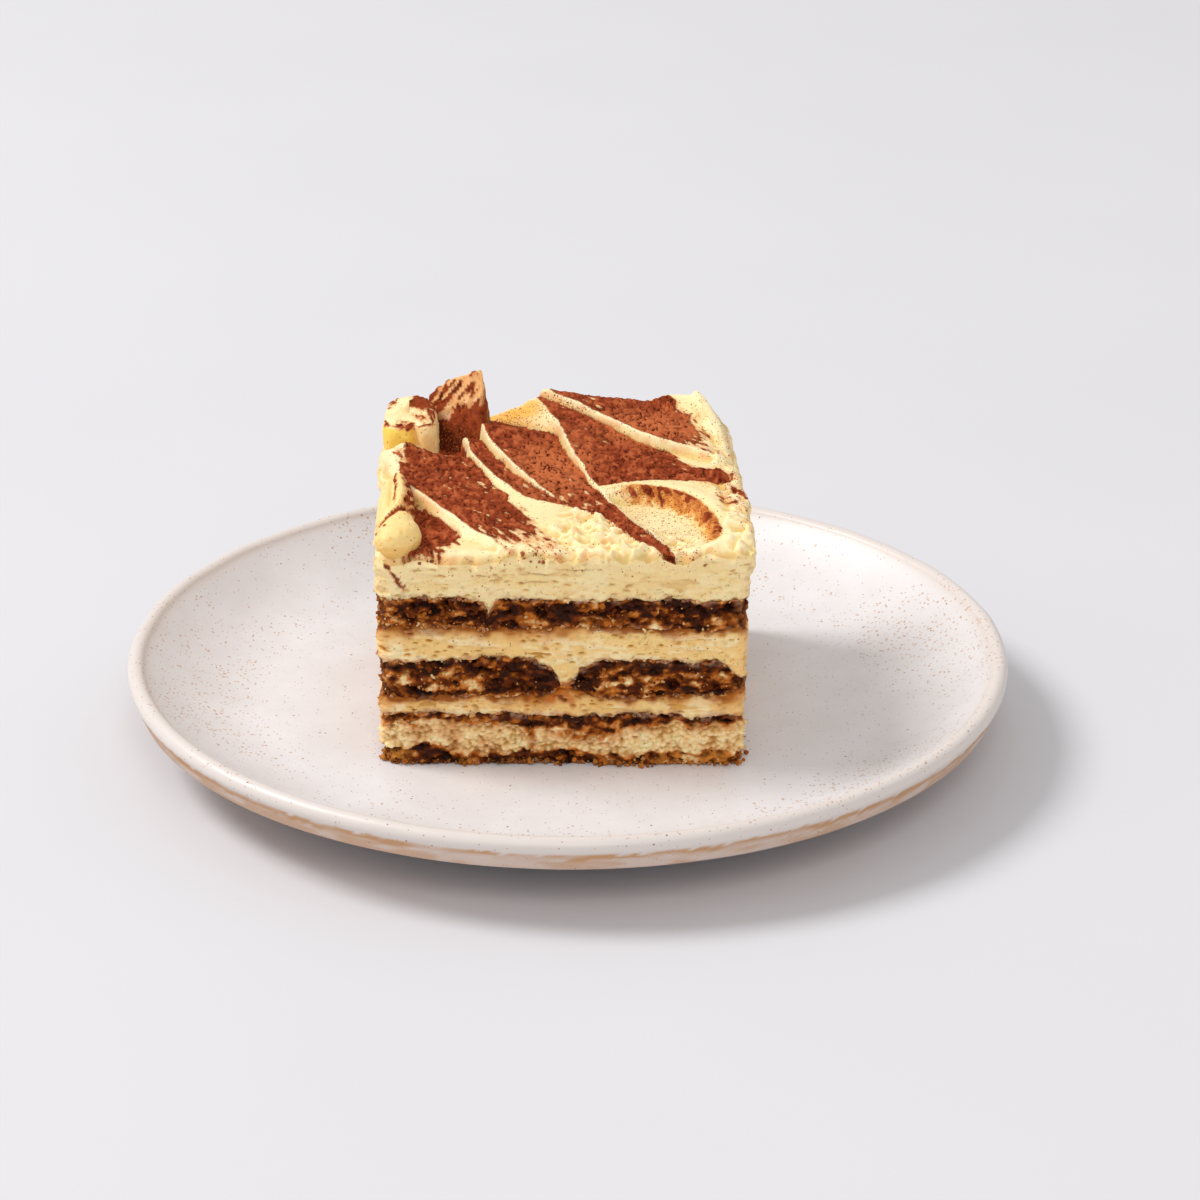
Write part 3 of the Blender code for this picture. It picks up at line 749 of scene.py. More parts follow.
def wet_middle(p, down, up):
    """Middle fingers: a dark crust all round, amber crumb inside."""
    joint = LAYERS["middle"][2]
    end = np.minimum(np.abs(p[..., 0] - joint) - 3.0, RIGHT - p[..., 0] + 1.0)
    crust = np.minimum(np.minimum(up / 1.9, down / 1.2), end / 2.4)
    inside = ease(crust + 0.8 * noise(p, 2.4, 72), 0.7, 2.0)
    dark_patch = ease(np.abs(p[..., 0] + 12.0), 9.5, 6.0)
    rim = ease(up + 0.6 * noise(p, 1.6, 88), 0.9, 0.1)
    foot = ease(down + 0.6 * noise(p, 1.6, 89), 1.1, 0.1)
    inner = (0.48 + 0.3 * noise(p, 2.6, 73)) * (1 - 0.65 * dark_patch)
    return 0.95 - inside * inner - 0.3 * rim - 0.34 * foot


def wet_bottom(p, down, up):
    """Bottom fingers: soaked underside, dry pale middle, a thin dark band on top."""
    x = p[..., 0]
    band = 1.5 + 1.5 * ease(np.abs(x - 3.0), 20.0, 6.0)
    top = ease(up + 0.9 * noise(p, 2.4, 74), band + 1.3, band - 0.7)
    foot = 2.1 + 0.7 * ease(x, -6, -14) + 1.9 * noise(p, (6.0, 6.0, 3.0), 75)
    low = ease(down + 0.9 * noise(p, 1.8, 76), foot + 1.2, foot - 0.6)
    deep = 0.88 - 0.2 * ease(x, -14.0, -4.0) - 0.16 * ease(x, 12.0, 24.0) + 0.4 * noise(p, 3.0, 77)
    deep = deep - 0.3 * ease(x, -33.0, -38.0)
    seam = 0.3 * np.exp(-((x - LAYERS["bottom"][2] + 0.5 * noise(p, 2.0, 82)) / 1.3) ** 2)
    glow = 0.3 * ease(up, band + 3.2, band) * ease(noise(p, 4.0, 86), -0.6, 0.5)
    spot = 0.42 * np.exp(-((x - 4.0) / 7.0) ** 2 - ((up - 4.0) / 2.2) ** 2)
    dry = 0.02 + 0.09 * ease(x, 0, -24) + (0.08 + 0.08 * ease(x, 0, -24)) * noise(p, 3.0, 78)
    dry = dry + np.maximum(seam, np.maximum(glow, spot))
    top = top * (0.8 - 0.22 * ease(x, -10.0, -20.0))
    return np.maximum(dry, np.maximum(top, deep * low))


def finger_colour(wet_of):
    """Sponge colour from its wetness, which changes from crumb to crumb, with painted shade in pits and
    painted highlights on lumps.
    """
    def colour(p, down, up, out):
        wet = wet_of(p, down, up)
        _, _, number = lumps(p, (2.4, 2.4, 1.5), 60)
        _, _, other = lumps(p, (1.1, 1.1, 0.85), 61)
        change = 0.42 * (0.5 - number) + 0.34 * (other - 0.5)
        change = change + 0.42 * rough_noise(p, (2.2, 2.2, 1.1), 85, 2)
        wet = np.clip(wet + change * ease(wet, 0.1, 0.45), 0, 1)
        tint = np.stack([np.interp(wet, WETNESS, WET_TONES[:, k]) for k in range(3)], -1)
        x, z = p[..., 0], p[..., 2]
        corner = ease(np.abs(x - MIDDLE_X), WIDTH / 2 - 4.0, WIDTH / 2 - 0.5)
        tint = mix(tint, tone(190, 122, 70), 0.55 * corner * ease(wet, 0.35, 0.6))
        honey = ease(z, 13.5, 10.0) * (ease(x, -33, -37) + ease(x, 17, 24)) * ease(wet, 0.2, 0.5)
        tint = mix(tint, tone(222, 146, 62), 0.7 * np.clip(honey + 0.4 * noise(p, 2.0, 87), 0, 1)
                   * ease(honey, 0, 0.1))
        near = np.maximum(ease(up, 1.5, 0.2), 0.5 * ease(down, 1.0, 0.2) * ease(z, 12, 20))
        smear = ease(noise(p, (2.2, 2.2, 1.2), 83), 0.05, 0.4) * near
        tint = mix(tint, CREAM_PINK, 0.65 * smear * ease(wet, 0.3, 0.6))
        # painted highlight: wet chunks that stand out turn lighter amber
        tan = ease(noise(p, (1.5, 1.5, 1.0), 84), 0.35, 0.6) * ease(out, 0.1, 0.5)
        tint = mix(tint, WET_TONES[1], 0.6 * tan * ease(wet, 0.35, 0.6))
        # painted shade in pits: the share of the tint kept at a pit's bottom, for soaked and for dry
        # sponge
        deep = np.array((0.30, 0.22, 0.15))
        pale = np.array((0.62, 0.45, 0.25))
        depth = mix(deep, pale, ease(wet, 0.4, 0.0))
        # painted highlight: dry lumps that stand out are paler
        tint = mix(tint, CREAM_PALE, 0.7 * ease(out, 0.05, 0.5) * ease(wet, 0.3, 0.0))
        tint = tint * (1 - ease(out, 0.1, -0.9)[..., None] * (1 - depth))
        return tint, wet
    return colour


WETNESS_OF = {"bottom": wet_bottom, "middle": wet_middle, "top": wet_top}


def finger_span(layer, side):
    """Ends of a finger along x, and the rounding of its outline's left and right corners."""
    joint = LAYERS[layer][2]
    if side == "left":
        return LEFT, joint + OVERLAP, (CORNER, 0.3)
    return joint - OVERLAP, RIGHT, (0.3, CORNER)


def make_fingers(pale, soaked):
    """The six fingers: left and right of each layer's joint."""
    for layer, wet_of in WETNESS_OF.items():
        material, slot = (pale, "pale_sponge") if layer == "bottom" else (soaked, "soaked_sponge")
        for side in ("left", "right"):
            x0, x1, ends = finger_span(layer, side)
            make_layer(f"{layer}_finger_{side}", x0, x1,
                       lambda x, y: finger_surface(x, y, layer, -1),
                       lambda x, y: finger_surface(x, y, layer, 1),
                       lambda p, down, up: sponge_push(p, down, up, wet_of(p, down, up)),
                       finger_colour(wet_of), material, slot, (f"{layer}_biscuit_{side}",),
                       ends=ends)


def make_cream_layers(material):
    for name, below, above in (("cream_lower", "bottom", "middle"),
                               ("cream_middle", "middle", "top")):
        make_layer(f"{name}_cut", LEFT, RIGHT, lambda x, y: finger_surface(x, y, below, 1),
                   lambda x, y: finger_surface(x, y, above, -1), cream_push, cream_colour,
                   material, "cream", (name,), spacing=0.24, mark="powder")


# --- crumbs on the cut faces ---------------------------------------------------------------

def ball():
    """A ball of 80 triangles: an icosahedron with each edge halved and pushed out to radius 1."""
    g = (1 + math.sqrt(5)) / 2
    v = np.array(((-1, g, 0), (1, g, 0), (-1, -g, 0), (1, -g, 0), (0, -1, g), (0, 1, g),
                  (0, -1, -g), (0, 1, -g), (g, 0, -1), (g, 0, 1), (-g, 0, -1), (-g, 0, 1)))
    f = np.array(((0, 11, 5), (0, 5, 1), (0, 1, 7), (0, 7, 10), (0, 10, 11), (1, 5, 9), (5, 11, 4),
                  (11, 10, 2), (10, 7, 6), (7, 1, 8), (3, 9, 4), (3, 4, 2), (3, 2, 6), (3, 6, 8),
                  (3, 8, 9), (4, 9, 5), (2, 4, 11), (6, 2, 10), (8, 6, 7), (9, 8, 1)))
    corners = v[f]
    halves = (corners + np.roll(corners, -1, axis=1)) / 2
    a, b, c = np.moveaxis(corners, 1, 0)
    ab, bc, ca = np.moveaxis(halves, 1, 0)
    pieces = np.concatenate([np.stack(t, 1) for t in ((a, ab, ca), (b, bc, ab), (c, ca, bc),
                                                      (ab, bc, ca))])
    flat = pieces.reshape(-1, 3)
    flat = flat / np.linalg.norm(flat, axis=1, keepdims=True)
    spots, index = np.unique(flat.round(6), axis=0, return_inverse=True)
    return spots, index.reshape(-1, 3)


def make_crumbs(name, spots, sizes, tints, wets, material, slot, seed):
    """Small irregular lumps: balls with each corner pushed in or out, turned and flattened."""
    shape, faces = ball()
    rng = np.random.default_rng(seed)
    count = len(spots)
    turns = np.linalg.qr(rng.normal(size=(count, 3, 3)))[0]
    stretch = rng.uniform(0.4, 1.4, (count, 1, 3))
    rough = rng.uniform(0.5, 1.25, (count, len(shape), 1))
    places = np.einsum("nij,nkj->nki", turns, shape * stretch * rough)
    places = places * sizes[:, None, None] + spots[:, None]
    flips = np.linalg.det(turns) < 0
    triangles = faces[None] + (np.arange(count) * len(shape))[:, None, None]
    triangles[flips] = triangles[flips][..., ::-1]
    shade = rng.uniform(0.7, 1.15, (count, len(shape), 1))
    make_piece(name, places, (), triangles.reshape(-1, 3), material, slot, smooth=False,
               tint=tints[:, None] * shade, wet=np.repeat(wets, len(shape)),
               dust=np.zeros(count * len(shape)), cut=np.zeros(count * len(shape)))


def wall_spots(rng, count, x0, x1, under, over, ends, front_share=0.55):
    """Random places on a layer's wall, with the distances to its edges; more on the front."""
    x, y, nx, ny = outline(x0, x1, 0.2, *ends)
    outer = (np.abs(x - LEFT) < CORNER) | (np.abs(x - RIGHT) < CORNER) | (np.abs(y) > BACK - CORNER)
    chance = outer * np.where(y < FRONT + CORNER, front_share, (1 - front_share) / 3)
    i = rng.choice(len(x), count, p=chance / chance.sum())
    low, high = under(x[i], y[i]), over(x[i], y[i])
    t = rng.uniform(0, 1, count)
    t = np.where(rng.uniform(0, 1, count) < 0.3, np.where(t < 0.5, 0.0, 1.0), t)
    z = low + (high - low) * t
    return points(x[i], y[i], z), points(nx[i], ny[i], 0), z - low, high - z


def make_sponge_crumbs(pale, soaked):
    """Loose crumb standing out of the soaked and the pale sponge, and along the foot."""
    rng = np.random.default_rng(5)
    for layer, count in (("bottom", 900), ("middle", 620), ("top", 560)):
        material, slot = (pale, "pale_sponge") if layer == "bottom" else (soaked, "soaked_sponge")
        wet_of = WETNESS_OF[layer]
        found = []
        for side in ("left", "right"):
            x0, x1, ends = finger_span(layer, side)
            found.append(wall_spots(rng, count // 2, x0, x1,
                                    lambda x, y: finger_surface(x, y, layer, -1),
                                    lambda x, y: finger_surface(x, y, layer, 1), ends))
        p, n, down, up = (np.concatenate(part) for part in zip(*found))
        foot = (rng.uniform(0, 1, len(p)) < 0.3) * (layer == "bottom")
        p[foot, 2] = BASE + rng.uniform(0.1, 0.9, foot.sum())
        down = np.where(foot, 0.4, down)
        wet = wet_of(p, down, up)
        out = sponge_push(p, down, up, wet) + spread(p[:, 2]) + rng.uniform(-0.1, 0.25, len(p))
        spill = foot * ease(p[:, 0], -12, 8)
        p[:, 2] = p[:, 2] - 0.3 * spill
        out = out + foot * rng.uniform(0, 0.8, len(p)) + spill * rng.uniform(0, 0.6, len(p))
        wet = np.clip(wet + rng.normal(-0.08, 0.17, len(p)) * ease(wet, 0.1, 0.4), 0, 1)
        size = 0.22 + 0.5 * rng.power(0.45, len(p)) + 0.1 * foot
        tint = np.stack([np.interp(wet, WETNESS, WET_TONES[:, k]) for k in range(3)], -1)
        border = (np.minimum(down, up) < 0.3) * rng.uniform(0, 0.9, len(p)) * ease(wet, 0.2, 0.5)
        tint = mix(tint, CREAM_PINK, border)
        tint = mix(tint, tone(206, 132, 56), 0.7 * foot * rng.uniform(0, 1, len(p)))
        make_crumbs(f"{layer}_crumbs", p + n * out[:, None], size, tint, wet, material, slot, 7)


def make_cream_crumbs(material):
    """Small torn bits of cream on the cut cream."""
    rng = np.random.default_rng(9)
    found = []
    for below, above, count in (("bottom", "middle", 330), ("middle", "top", 420)):
        found.append(wall_spots(rng, count, LEFT, RIGHT,
                                lambda x, y: finger_surface(x, y, below, 1),
                                lambda x, y: finger_surface(x, y, above, -1), (CORNER, CORNER)))
    found.append(wall_spots(rng, 420, LEFT, RIGHT, lambda x, y: finger_surface(x, y, "top", 1),
                            lambda x, y: 0 * x + 55.0, (CORNER, CORNER)))
    p, n, down, up = (np.concatenate(part) for part in zip(*found))
    keep = (p[:, 2] < 48) | (p[:, 1] < FRONT + 3)
    p, n, down, up = p[keep], n[keep], down[keep], up[keep]
    out = cream_push(p, down, up) + spread(p[:, 2]) + 0.05
    tint, wet = cream_colour(p, down, up, out)
    size = 0.16 + 0.26 * rng.power(0.6, len(p))
    make_crumbs("cream_crumbs", p + n * out[:, None], size, tint, wet, material, "cream", 11)


# --- the swirled top -------------------------------------------------------------------------

TOP_FRONT = 57.0            # mean height of the top along its front edge
TOP_RISE = 0.042            # rise of the mean plane towards the back
SOFTEN = 0.16               # strokes melt into each other over this height
LEAN = 0.35                 # the top leans left by this share of its height over the mean plane
TOP_LEFT, TOP_RIGHT = LEFT - 0.4, RIGHT + 1.9

# Strokes from back to front: place along y, crest at x, height over the mean plane, slope of
# the leaf to the right of the crest, slope of the bare face to its left.
LEAVES = (
    # the broad leaf at the front left
    ((16, -41.5, 1.0, .08, 3.0), (9, -38.6, 3.4, .10, 3.0), (1.5, -38.0, 3.4, .10, 3.0),
     (-5.6, -37.2, 3.3, .10, 3.0), (-12.9, -32.4, 3.1, .11, 2.2), (-19.9, -27.7, 2.8, .12, 1.5),
     (-24.5, -24.2, 2.4, .125, 1.2), (-29.8, -20.7, 2.0, .125, 1.0),
     (-33.6, -16.3, 1.4, .12, .8), (-36.3, -14.1, 1.0, .12, .7), (-41, -11.0, .3, .10, .6)),
    # the narrow leaf beside it, whose crest runs on as the edge of the bare front
    ((25, -25.0, -.5, .26, 3.5), (20, -23.9, 2.6, .26, 3.5), (16.9, -23.2, 3.2, .26, 4.0),
     (10.9, -22.3, 3.2, .26, 4.0), (1.9, -18.6, 3.1, .25, 3.4), (-5, -15.0, 2.7, .20, 1.1),
     (-10, -11.3, 2.2, .15, .34), (-13.5, -7.2, 1.8, .11, .10), (-16, -1.0, 1.4, .05, .05),
     (-19, 4.5, 1.2, .03, .03), (-23, 8.6, 1.1, .02, .03), (-28, 12.0, 1.0, .02, .03),
     (-33, 15.2, .8, .02, .03), (-39, 21.0, .6, .02, .03)),
    # the long middle leaf
    ((38, -22.0, .0, .15, 3.0), (28, -20.6, 3.0, .155, 4.0), (22.5, -19.7, 4.6, .155, 4.0),
     (17, -18.6, 4.4, .155, 4.0), (11.5, -16.6, 4.2, .15, 4.0), (6.4, -14.2, 3.9, .147, 4.0),
     (1.4, -11.8, 3.6, .14, 4.0), (-4, -8.3, 3.0, .12, 4.0), (-7.5, -6.1, 2.6, .11, 3.5),
     (-12.5, -2.7, 1.9, .08, 2.5), (-16, -.2, 1.1, .06, 1.5), (-20, 3.0, .1, .05, 1.0),
     (-24, 6.0, -1.0, .05, 1.0), (-32, 12.0, -3.0, .05, 1.0)),
    # the largest leaf, whose crest runs on as the left lip of the scoop
    ((41, -8.4, 5.3, .14, .45), (34.8, -6.6, 5.4, .14, .48), (29.5, -4.6, 5.1, .13, .7),
     (25.5, -3.0, 4.95, .115, 1.8), (22.2, -2.0, 4.8, .115, 3.5), (14.2, -.3, 4.4, .10, 4.0),
     (6.7, 1.6, 3.9, .06, 4.0), (1.9, 3.4, 3.5, .035, 4.0), (-4.1, 5.0, 2.9, .01, 3.5),
     (-9, 7.4, 2.3, -.01, 3.0), (-20, 12.7, 1.7, -.02, 2.5), (-30, 18.1, 1.4, -.02, 2.5),
     (-37.6, 23.4, 1.1, -.02, 2.0), (-41, 26.5, .9, -.02, 2.0)),
)

# Strokes from left to right: place along x, crest at y, height over the mean plane, slope
# behind the crest, slope in front of it.
CROSS_STROKES = (
    # the leaf along the back
    ((-11, 41.0, 1.0, .03, 1.0), (-8.4, 39.8, 5.5, .03, 1.8), (-6.7, 38.5, 7.2, .03, 1.8),
     (-2.2, 35.4, 6.9, .04, 1.8), (2.5, 31.6, 6.5, .04, 1.8), (7.1, 26.9, 6.0, .03, 1.8),
     (11.8, 22.3, 5.6, .03, 1.8), (16.3, 17.9, 5.3, .03, 1.8), (20.8, 14.9, 5.0, .03, 1.8),
     (25.4, 12.9, 4.7, .03, 1.8), (29.9, 11.2, 4.2, .04, 1.8), (34.3, 8.9, 3.5, .08, 1.6),
     (38.4, 6.9, 2.4, .15, 1.3), (43, 6.0, .8, .20, 1.0)),
    # the peak at the back right corner
    ((14.5, 38.5, 1.0, 2.5, .5), (18.5, 38.3, 4.4, 2.5, .42), (23.0, 38.0, 6.2, 2.5, .36),
     (27.5, 37.6, 6.6, 2.5, .36), (30.9, 37.2, 6.9, 2.5, .36), (33.4, 36.9, 7.8, 2.5, .46),
     (35.4, 35.2, 6.7, 2.0, .48), (37.4, 31.5, 5.2, 1.6, .55), (39.0, 27.5, 3.8, 1.5, .55),
     (41, 23.5, 2.0, 1.3, .6), (44, 18.0, -.4, 1.0, .60)),
)

SCOOP_MIDDLE = (21.0, -22.0)
SCOOP_RIM = ((6.0, -8.6), (10.0, -7.4), (16.1, -6.3), (21.0, -7.1), (25.4, -9.4), (29.3, -13.3),
             (31.9, -19.6), (33.5, -25.6), (34.1, -29.6), (33.1, -33.4), (29.8, -37.4),
             (26.5, -40.2))


def through(place, table):
    """Smooth curves through a table's rows, whose first column is the place along the stroke."""
    rows = np.array(sorted(table), float)
    knots, values = rows[:, 0], rows[:, 1:]
    slopes = np.gradient(values, knots, axis=0)
    place = np.clip(place, knots[0], knots[-1])
    i = np.clip(np.searchsorted(knots, place, side="right") - 1, 0, len(knots) - 2)
    span = (knots[i + 1] - knots[i])[..., None]
    t = (place - knots[i])[..., None] / span
    return ((2 * t**3 - 3 * t**2 + 1) * values[i] + (t**3 - 2 * t**2 + t) * span * slopes[i]
            + (3 * t**2 - 2 * t**3) * values[i + 1] + (t**3 - t**2) * span * slopes[i + 1])


def stroke(along, across, table):
    """Height of a spoon stroke, and the distance past its crest, before the top leans left.

    After leaning, the crest, the leaf's slope and the face's slope are those of the table.
    """
    crest, height, leaf, face = np.moveaxis(through(along, table), -1, 0)
    step = 0.2
    turn = (through(along + step, table)[..., 0] - crest) / step
    away = (across - crest - LEAN * height) / np.sqrt(1 + turn**2)
    leaf = leaf / (1 - LEAN * leaf)
    face = face / (1 + LEAN * face)
    return height - face * np.maximum(-away, 0) - leaf * np.maximum(away, 0), away


def cross_stroke(x, y, table):
    """The same for a stroke from left to right; it is looked up where its crest ends up."""
    along = x
    for _ in range(3):
        along = x - LEAN * np.maximum(through(along, table)[..., 1], 0)
    crest, height, behind, front = np.moveaxis(through(along, table), -1, 0)
    step = 0.2
    turn = (through(along + step, table)[..., 0] - crest) / step
    away = (y - crest) / np.sqrt(1 + turn**2)
    return height - front * np.maximum(-away, 0) - behind * np.maximum(away, 0), away


def melt(a, b, width=SOFTEN):
    """The larger of two heights, rounded where they cross."""
    return (a + b + np.sqrt((a - b)**2 + width**2)) / 2


def patch(x, y, middle_x, middle_y, half_x, half_y, soft=0.35):
    """1 inside an ellipse, falling to 0 at its edge."""
    return ease(np.hypot((x - middle_x) / half_x, (y - middle_y) / half_y), 1, 1 - soft)


def top_relief(x, y):
    """Height over the mean plane, share covered by cocoa, how dusty and how stained cream is."""
    leaves = [stroke(y, x, table) for table in LEAVES]
    cross = [cross_stroke(x, y, table) for table in CROSS_STROKES]
    corner = 2.6 * np.exp(-((x + 33.6) / 2.8) ** 2 - ((y - 10.2) / 3.6) ** 2)
    leaves[0] = (leaves[0][0] + corner - 1.6 * np.maximum(y - 10.8, 0), leaves[0][1])
    rises = leaves + cross
    best = np.max([rise for rise, _ in rises], axis=0)
    height = 0 * x - 0.7
    for rise, _ in rises:
        height = melt(height, rise)
    # the scoop is cut into the largest leaf, with a rounded rim
    xs = x - LEAN * 1.6
    mx, my = SCOOP_MIDDLE
    rim = np.array(SCOOP_RIM) - SCOOP_MIDDLE
    bearing = np.arctan2(rim[:, 1], rim[:, 0])
    order = np.argsort(bearing)
    reach = np.interp(np.arctan2(y - my, xs - mx), bearing[order],
                      np.hypot(rim[:, 0], rim[:, 1])[order], period=2 * math.pi)
    inside = reach - np.hypot(xs - mx, y - my)
    past_lip = leaves[3][1]
    bowl = ease(inside, 0.2, 5.5)
    floor = 3.0 - 3.9 * bowl + 1.9 * np.exp(-np.maximum(past_lip, 0) / 2.4)
    in_scoop = (past_lip > 0) & (y < 0)
    roll = np.exp(-((inside + 1.4) / 1.5) ** 2) * ease(xs, 8, 24) * in_scoop
    height = height + 0.6 * roll
    height = np.where(in_scoop, -melt(-height, -floor, 0.5), height)
    # where cocoa lies: on each leaf, and thinning out towards its ends
    lower_edge = np.interp(x, (5, 9, 12, 20, 30, 39), (-9.5, -7.3, -6.3, -4.9, -4.7, -5.6))
    right_edge = np.interp(y, (-40, -31, -23, -16, -8), (-2.0, -5.6, -9.0, -12.0, -10.0))
    share = [ease(y, -43, -22) * ease(y, 14, 8) * (1 - 0.75 * patch(x, y, -36.5, 7, 6, 8, 0.9)),
             np.maximum(ease(y, -20, -13), 0.9 * ease(y, -10, -17)),
             1 - ease(y, -32, -39) * ease(-past_lip, 0.6, 2.0),
             ease(y - lower_edge, -0.2, 0.9) * ease(x, 51, 35)
             * (1 - ease(x, 24, 29) * ease(y + 0.62 * x, 22.8, 24.4)),
             ease(x, 42, 27),
             np.maximum(0.95 * patch(x, y, 24, 34, 7.0, 6.0, 0.6),
                        0.75 * patch(x, y, 30, 28, 7.0, 7.0, 0.9))]
    share[0] = share[0] * ease(x - LEAN * height - right_edge, 3.6, -1.6)
    cocoa = 0 * x
    for number, part in enumerate(share):
        rise, away = rises[number]
        on_leaf = ease(away if number < 5 else -away, 0.05, 0.5) * ease(rise - best, -0.35, -0.1)
        cocoa = np.maximum(cocoa, on_leaf * part)
    groove = ease(height, 1.3, 0.3) * patch(x, y, -30, -27, 9.0, 17, 0.6)
    # cocoa in the hollow before the petal's foot: partly real cocoa, partly painted shade
    hollow = ease(height, 1.6, 0.6) * patch(x, y, -27, 17, 9.0, 8.0, 0.4)
    cocoa = np.maximum(cocoa, np.maximum(groove, hollow))
    wall = in_scoop * ease(inside, 0.0, 0.8) * ease(inside, 7.0, 1.0)
    wall = wall * ease(xs, 6, 22) * ease(xs + 0.5 * y, 0, 10) * ease(y, -37, -31)
    drizzle = 0.38 * patch(x, y, 39.0, -13, 6.0, 13.0, 0.9)
    tail = 0.75 * np.exp(-((y + 39.6 + 0.08 * (x - 24)) / 0.5) ** 2) * ease(x, 20, 24)
    tail = tail * ease(x, 33, 29)
    spill = 0.38 * patch(x, y, -4.5, -36, 7.0, 5.0, 0.9)
    loose = np.maximum(np.maximum(drizzle, tail), spill)
    cocoa = np.maximum(cocoa, np.maximum(0.48 * wall * ease(y, -35, -29), loose))
    dots = in_scoop * ease(inside, 0.2, 1.2) * (0.36 + 0.6 * wall)
    right = 0.24 * ease(x, 29, 37) * ease(y, -36, -5)
    wedge = 0.95 * np.maximum(patch(x, y, -14, 31, 9, 9, 0.7), patch(x, y, 0, 31, 12, 8, 0.9))
    dust = np.clip(np.maximum(np.maximum(dots, right), np.maximum(wedge, 0.9 * loose)) + 0.03, 0, 1)
    border = np.minimum(np.minimum(x - TOP_LEFT, TOP_RIGHT - x), BACK - y)
    return height, cocoa * ease(border, 0.0, 0.7), dust, wall


def block_place(u, v, x0, x1, y0, y1):
    """Places for u and v from -1 to 1 in a rectangle with rounded corners.

    In a corner square of side r, with a and b from 0 to 1 across it, a becomes
    a·√(1 - b²/2) and b becomes b·√(1 - a²/2).
    """
    hx, hy, r = (x1 - x0) / 2, (y1 - y0) / 2, CORNER
    x, y = u * hx, v * hy
    a = np.clip((np.abs(x) - hx + r) / r, 0, 1)
    b = np.clip((np.abs(y) - hy + r) / r, 0, 1)
    x = np.sign(x) * (np.minimum(np.abs(x), hx - r) + r * a * np.sqrt(1 - b * b / 2))
    y = np.sign(y) * (np.minimum(np.abs(y), hy - r) + r * b * np.sqrt(1 - a * a / 2))
    return x + (x0 + x1) / 2, y + (y0 + y1) / 2


def top_places(u, v):
    """The swirled top for u and v from -1 to 1: places, cocoa, dust, stain, distance to edge.

    A point of height h over the mean plane is moved LEAN·h to the left, which makes the bare
    faces of the strokes upright.  The outer edge is rolled down as a quarter circle.
    """
    x, y = block_place(u, v, TOP_LEFT, TOP_RIGHT, FRONT - 0.3, BACK + 0.3)
    step = 0.12
    parts = [top_relief(x + dx, y + dy) for dx in (-step, step) for dy in (-step, step)]
    height, cocoa, dust, stain = (sum(part[k] for part in parts) / 4 for k in range(4))
    p = points(x, y, 0 * x)
    edge = np.minimum(np.minimum(x - TOP_LEFT, TOP_RIGHT - x), np.minimum(y - FRONT, BACK - y) + 0.3)
    front_bare = ease(y, -23, -31) * ease(np.abs(x - 6), 26, 14)
    middle_bare = ease(np.abs(x - 6), 10, 3) * ease(np.abs(y + 27), 13, 6)
    torn = np.maximum(front_bare, middle_bare) * ease(cocoa, 0.4, 0.0)
    right = ease(x, 33, 37) * ease(y, 26, 4)
    ridges = 1 - np.abs(noise(p, (4.5, 1.8, 1.0), 120))
    chunks = rough_noise(p, (2.6, 1.8, 1.0), 122, 2, 0.6)
    bumps = rough_noise(p, (1.3, 1.1, 1.0), 123, 2, 0.6)
    height = height + torn * (1.5 * (ridges - 0.75) + 1.2 * chunks + 0.45 * bumps)
    height = height + right * (0.9 * noise(p, 3.4, 124) + 0.9 * rough_noise(p, 1.9, 125, 2))
    height = height + 0.10 * noise(p, 4.0, 126) + 0.05 * noise(p, (2.5, 0.9, 1.0), 127)
    roll = 1.2 + 0.6 * noise(p, 5.0, 128)
    roll = roll + (0.8 + 1.3 * noise(p, (4.0, 9.0, 4.0), 129)) * ease(y, FRONT + 7, FRONT + 4)
    t = np.clip(1 - edge / roll, 0, 1)
    z = TOP_FRONT + TOP_RISE * (y - FRONT) + height - 0.9 * roll * (1 - np.sqrt(1 - t * t))
    near = ease(edge, 5.0, 0.0)
    x = x - LEAN * height + near * 0.55 * rough_noise(p, 3.6, 130, 2)
    y = y + near * (0.45 + 0.6 * ease(y, 0, FRONT)) * rough_noise(p, 3.0, 134, 3)
    narrower = 4.6 * np.clip((y + 22) / 50, 0, 1) * ease(x, 12, 44)
    wider = 2.2 * ease(y, 0, 8) * ease(y, 36, 28) * ease(x, -30, -41)
    return points(x - narrower - wider, y, z), cocoa, dust, stain, edge


def cocoa_cover(p, cocoa):
    """How far the cocoa crust has grown at a place, from its covered share and a ragged noise.

    It stands where the noise is below the share.  The second result is the browned cream that
    shows round it.
    """
    x, y = p[..., 0], p[..., 1]
    q = points(0.84 * x + 0.54 * y, 0.84 * y - 0.54 * x, 0.3 * p[..., 2])
    grain = 0.5 + 0.5 * rough_noise(q, (1.5, 3.2, 2.0), 110, 2, 0.7)
    grain = grain + 0.42 * noise(q, (0.55, 1.5, 1.0), 111)
    past = 1.3 * cocoa - 0.2 - grain
    thick = ease(past, -0.1, 0.12) * ease(cocoa, 0.03, 0.12)
    halo = ease(past, -0.5, -0.05) * ease(cocoa, 0.02, 0.15)
    return thick, halo


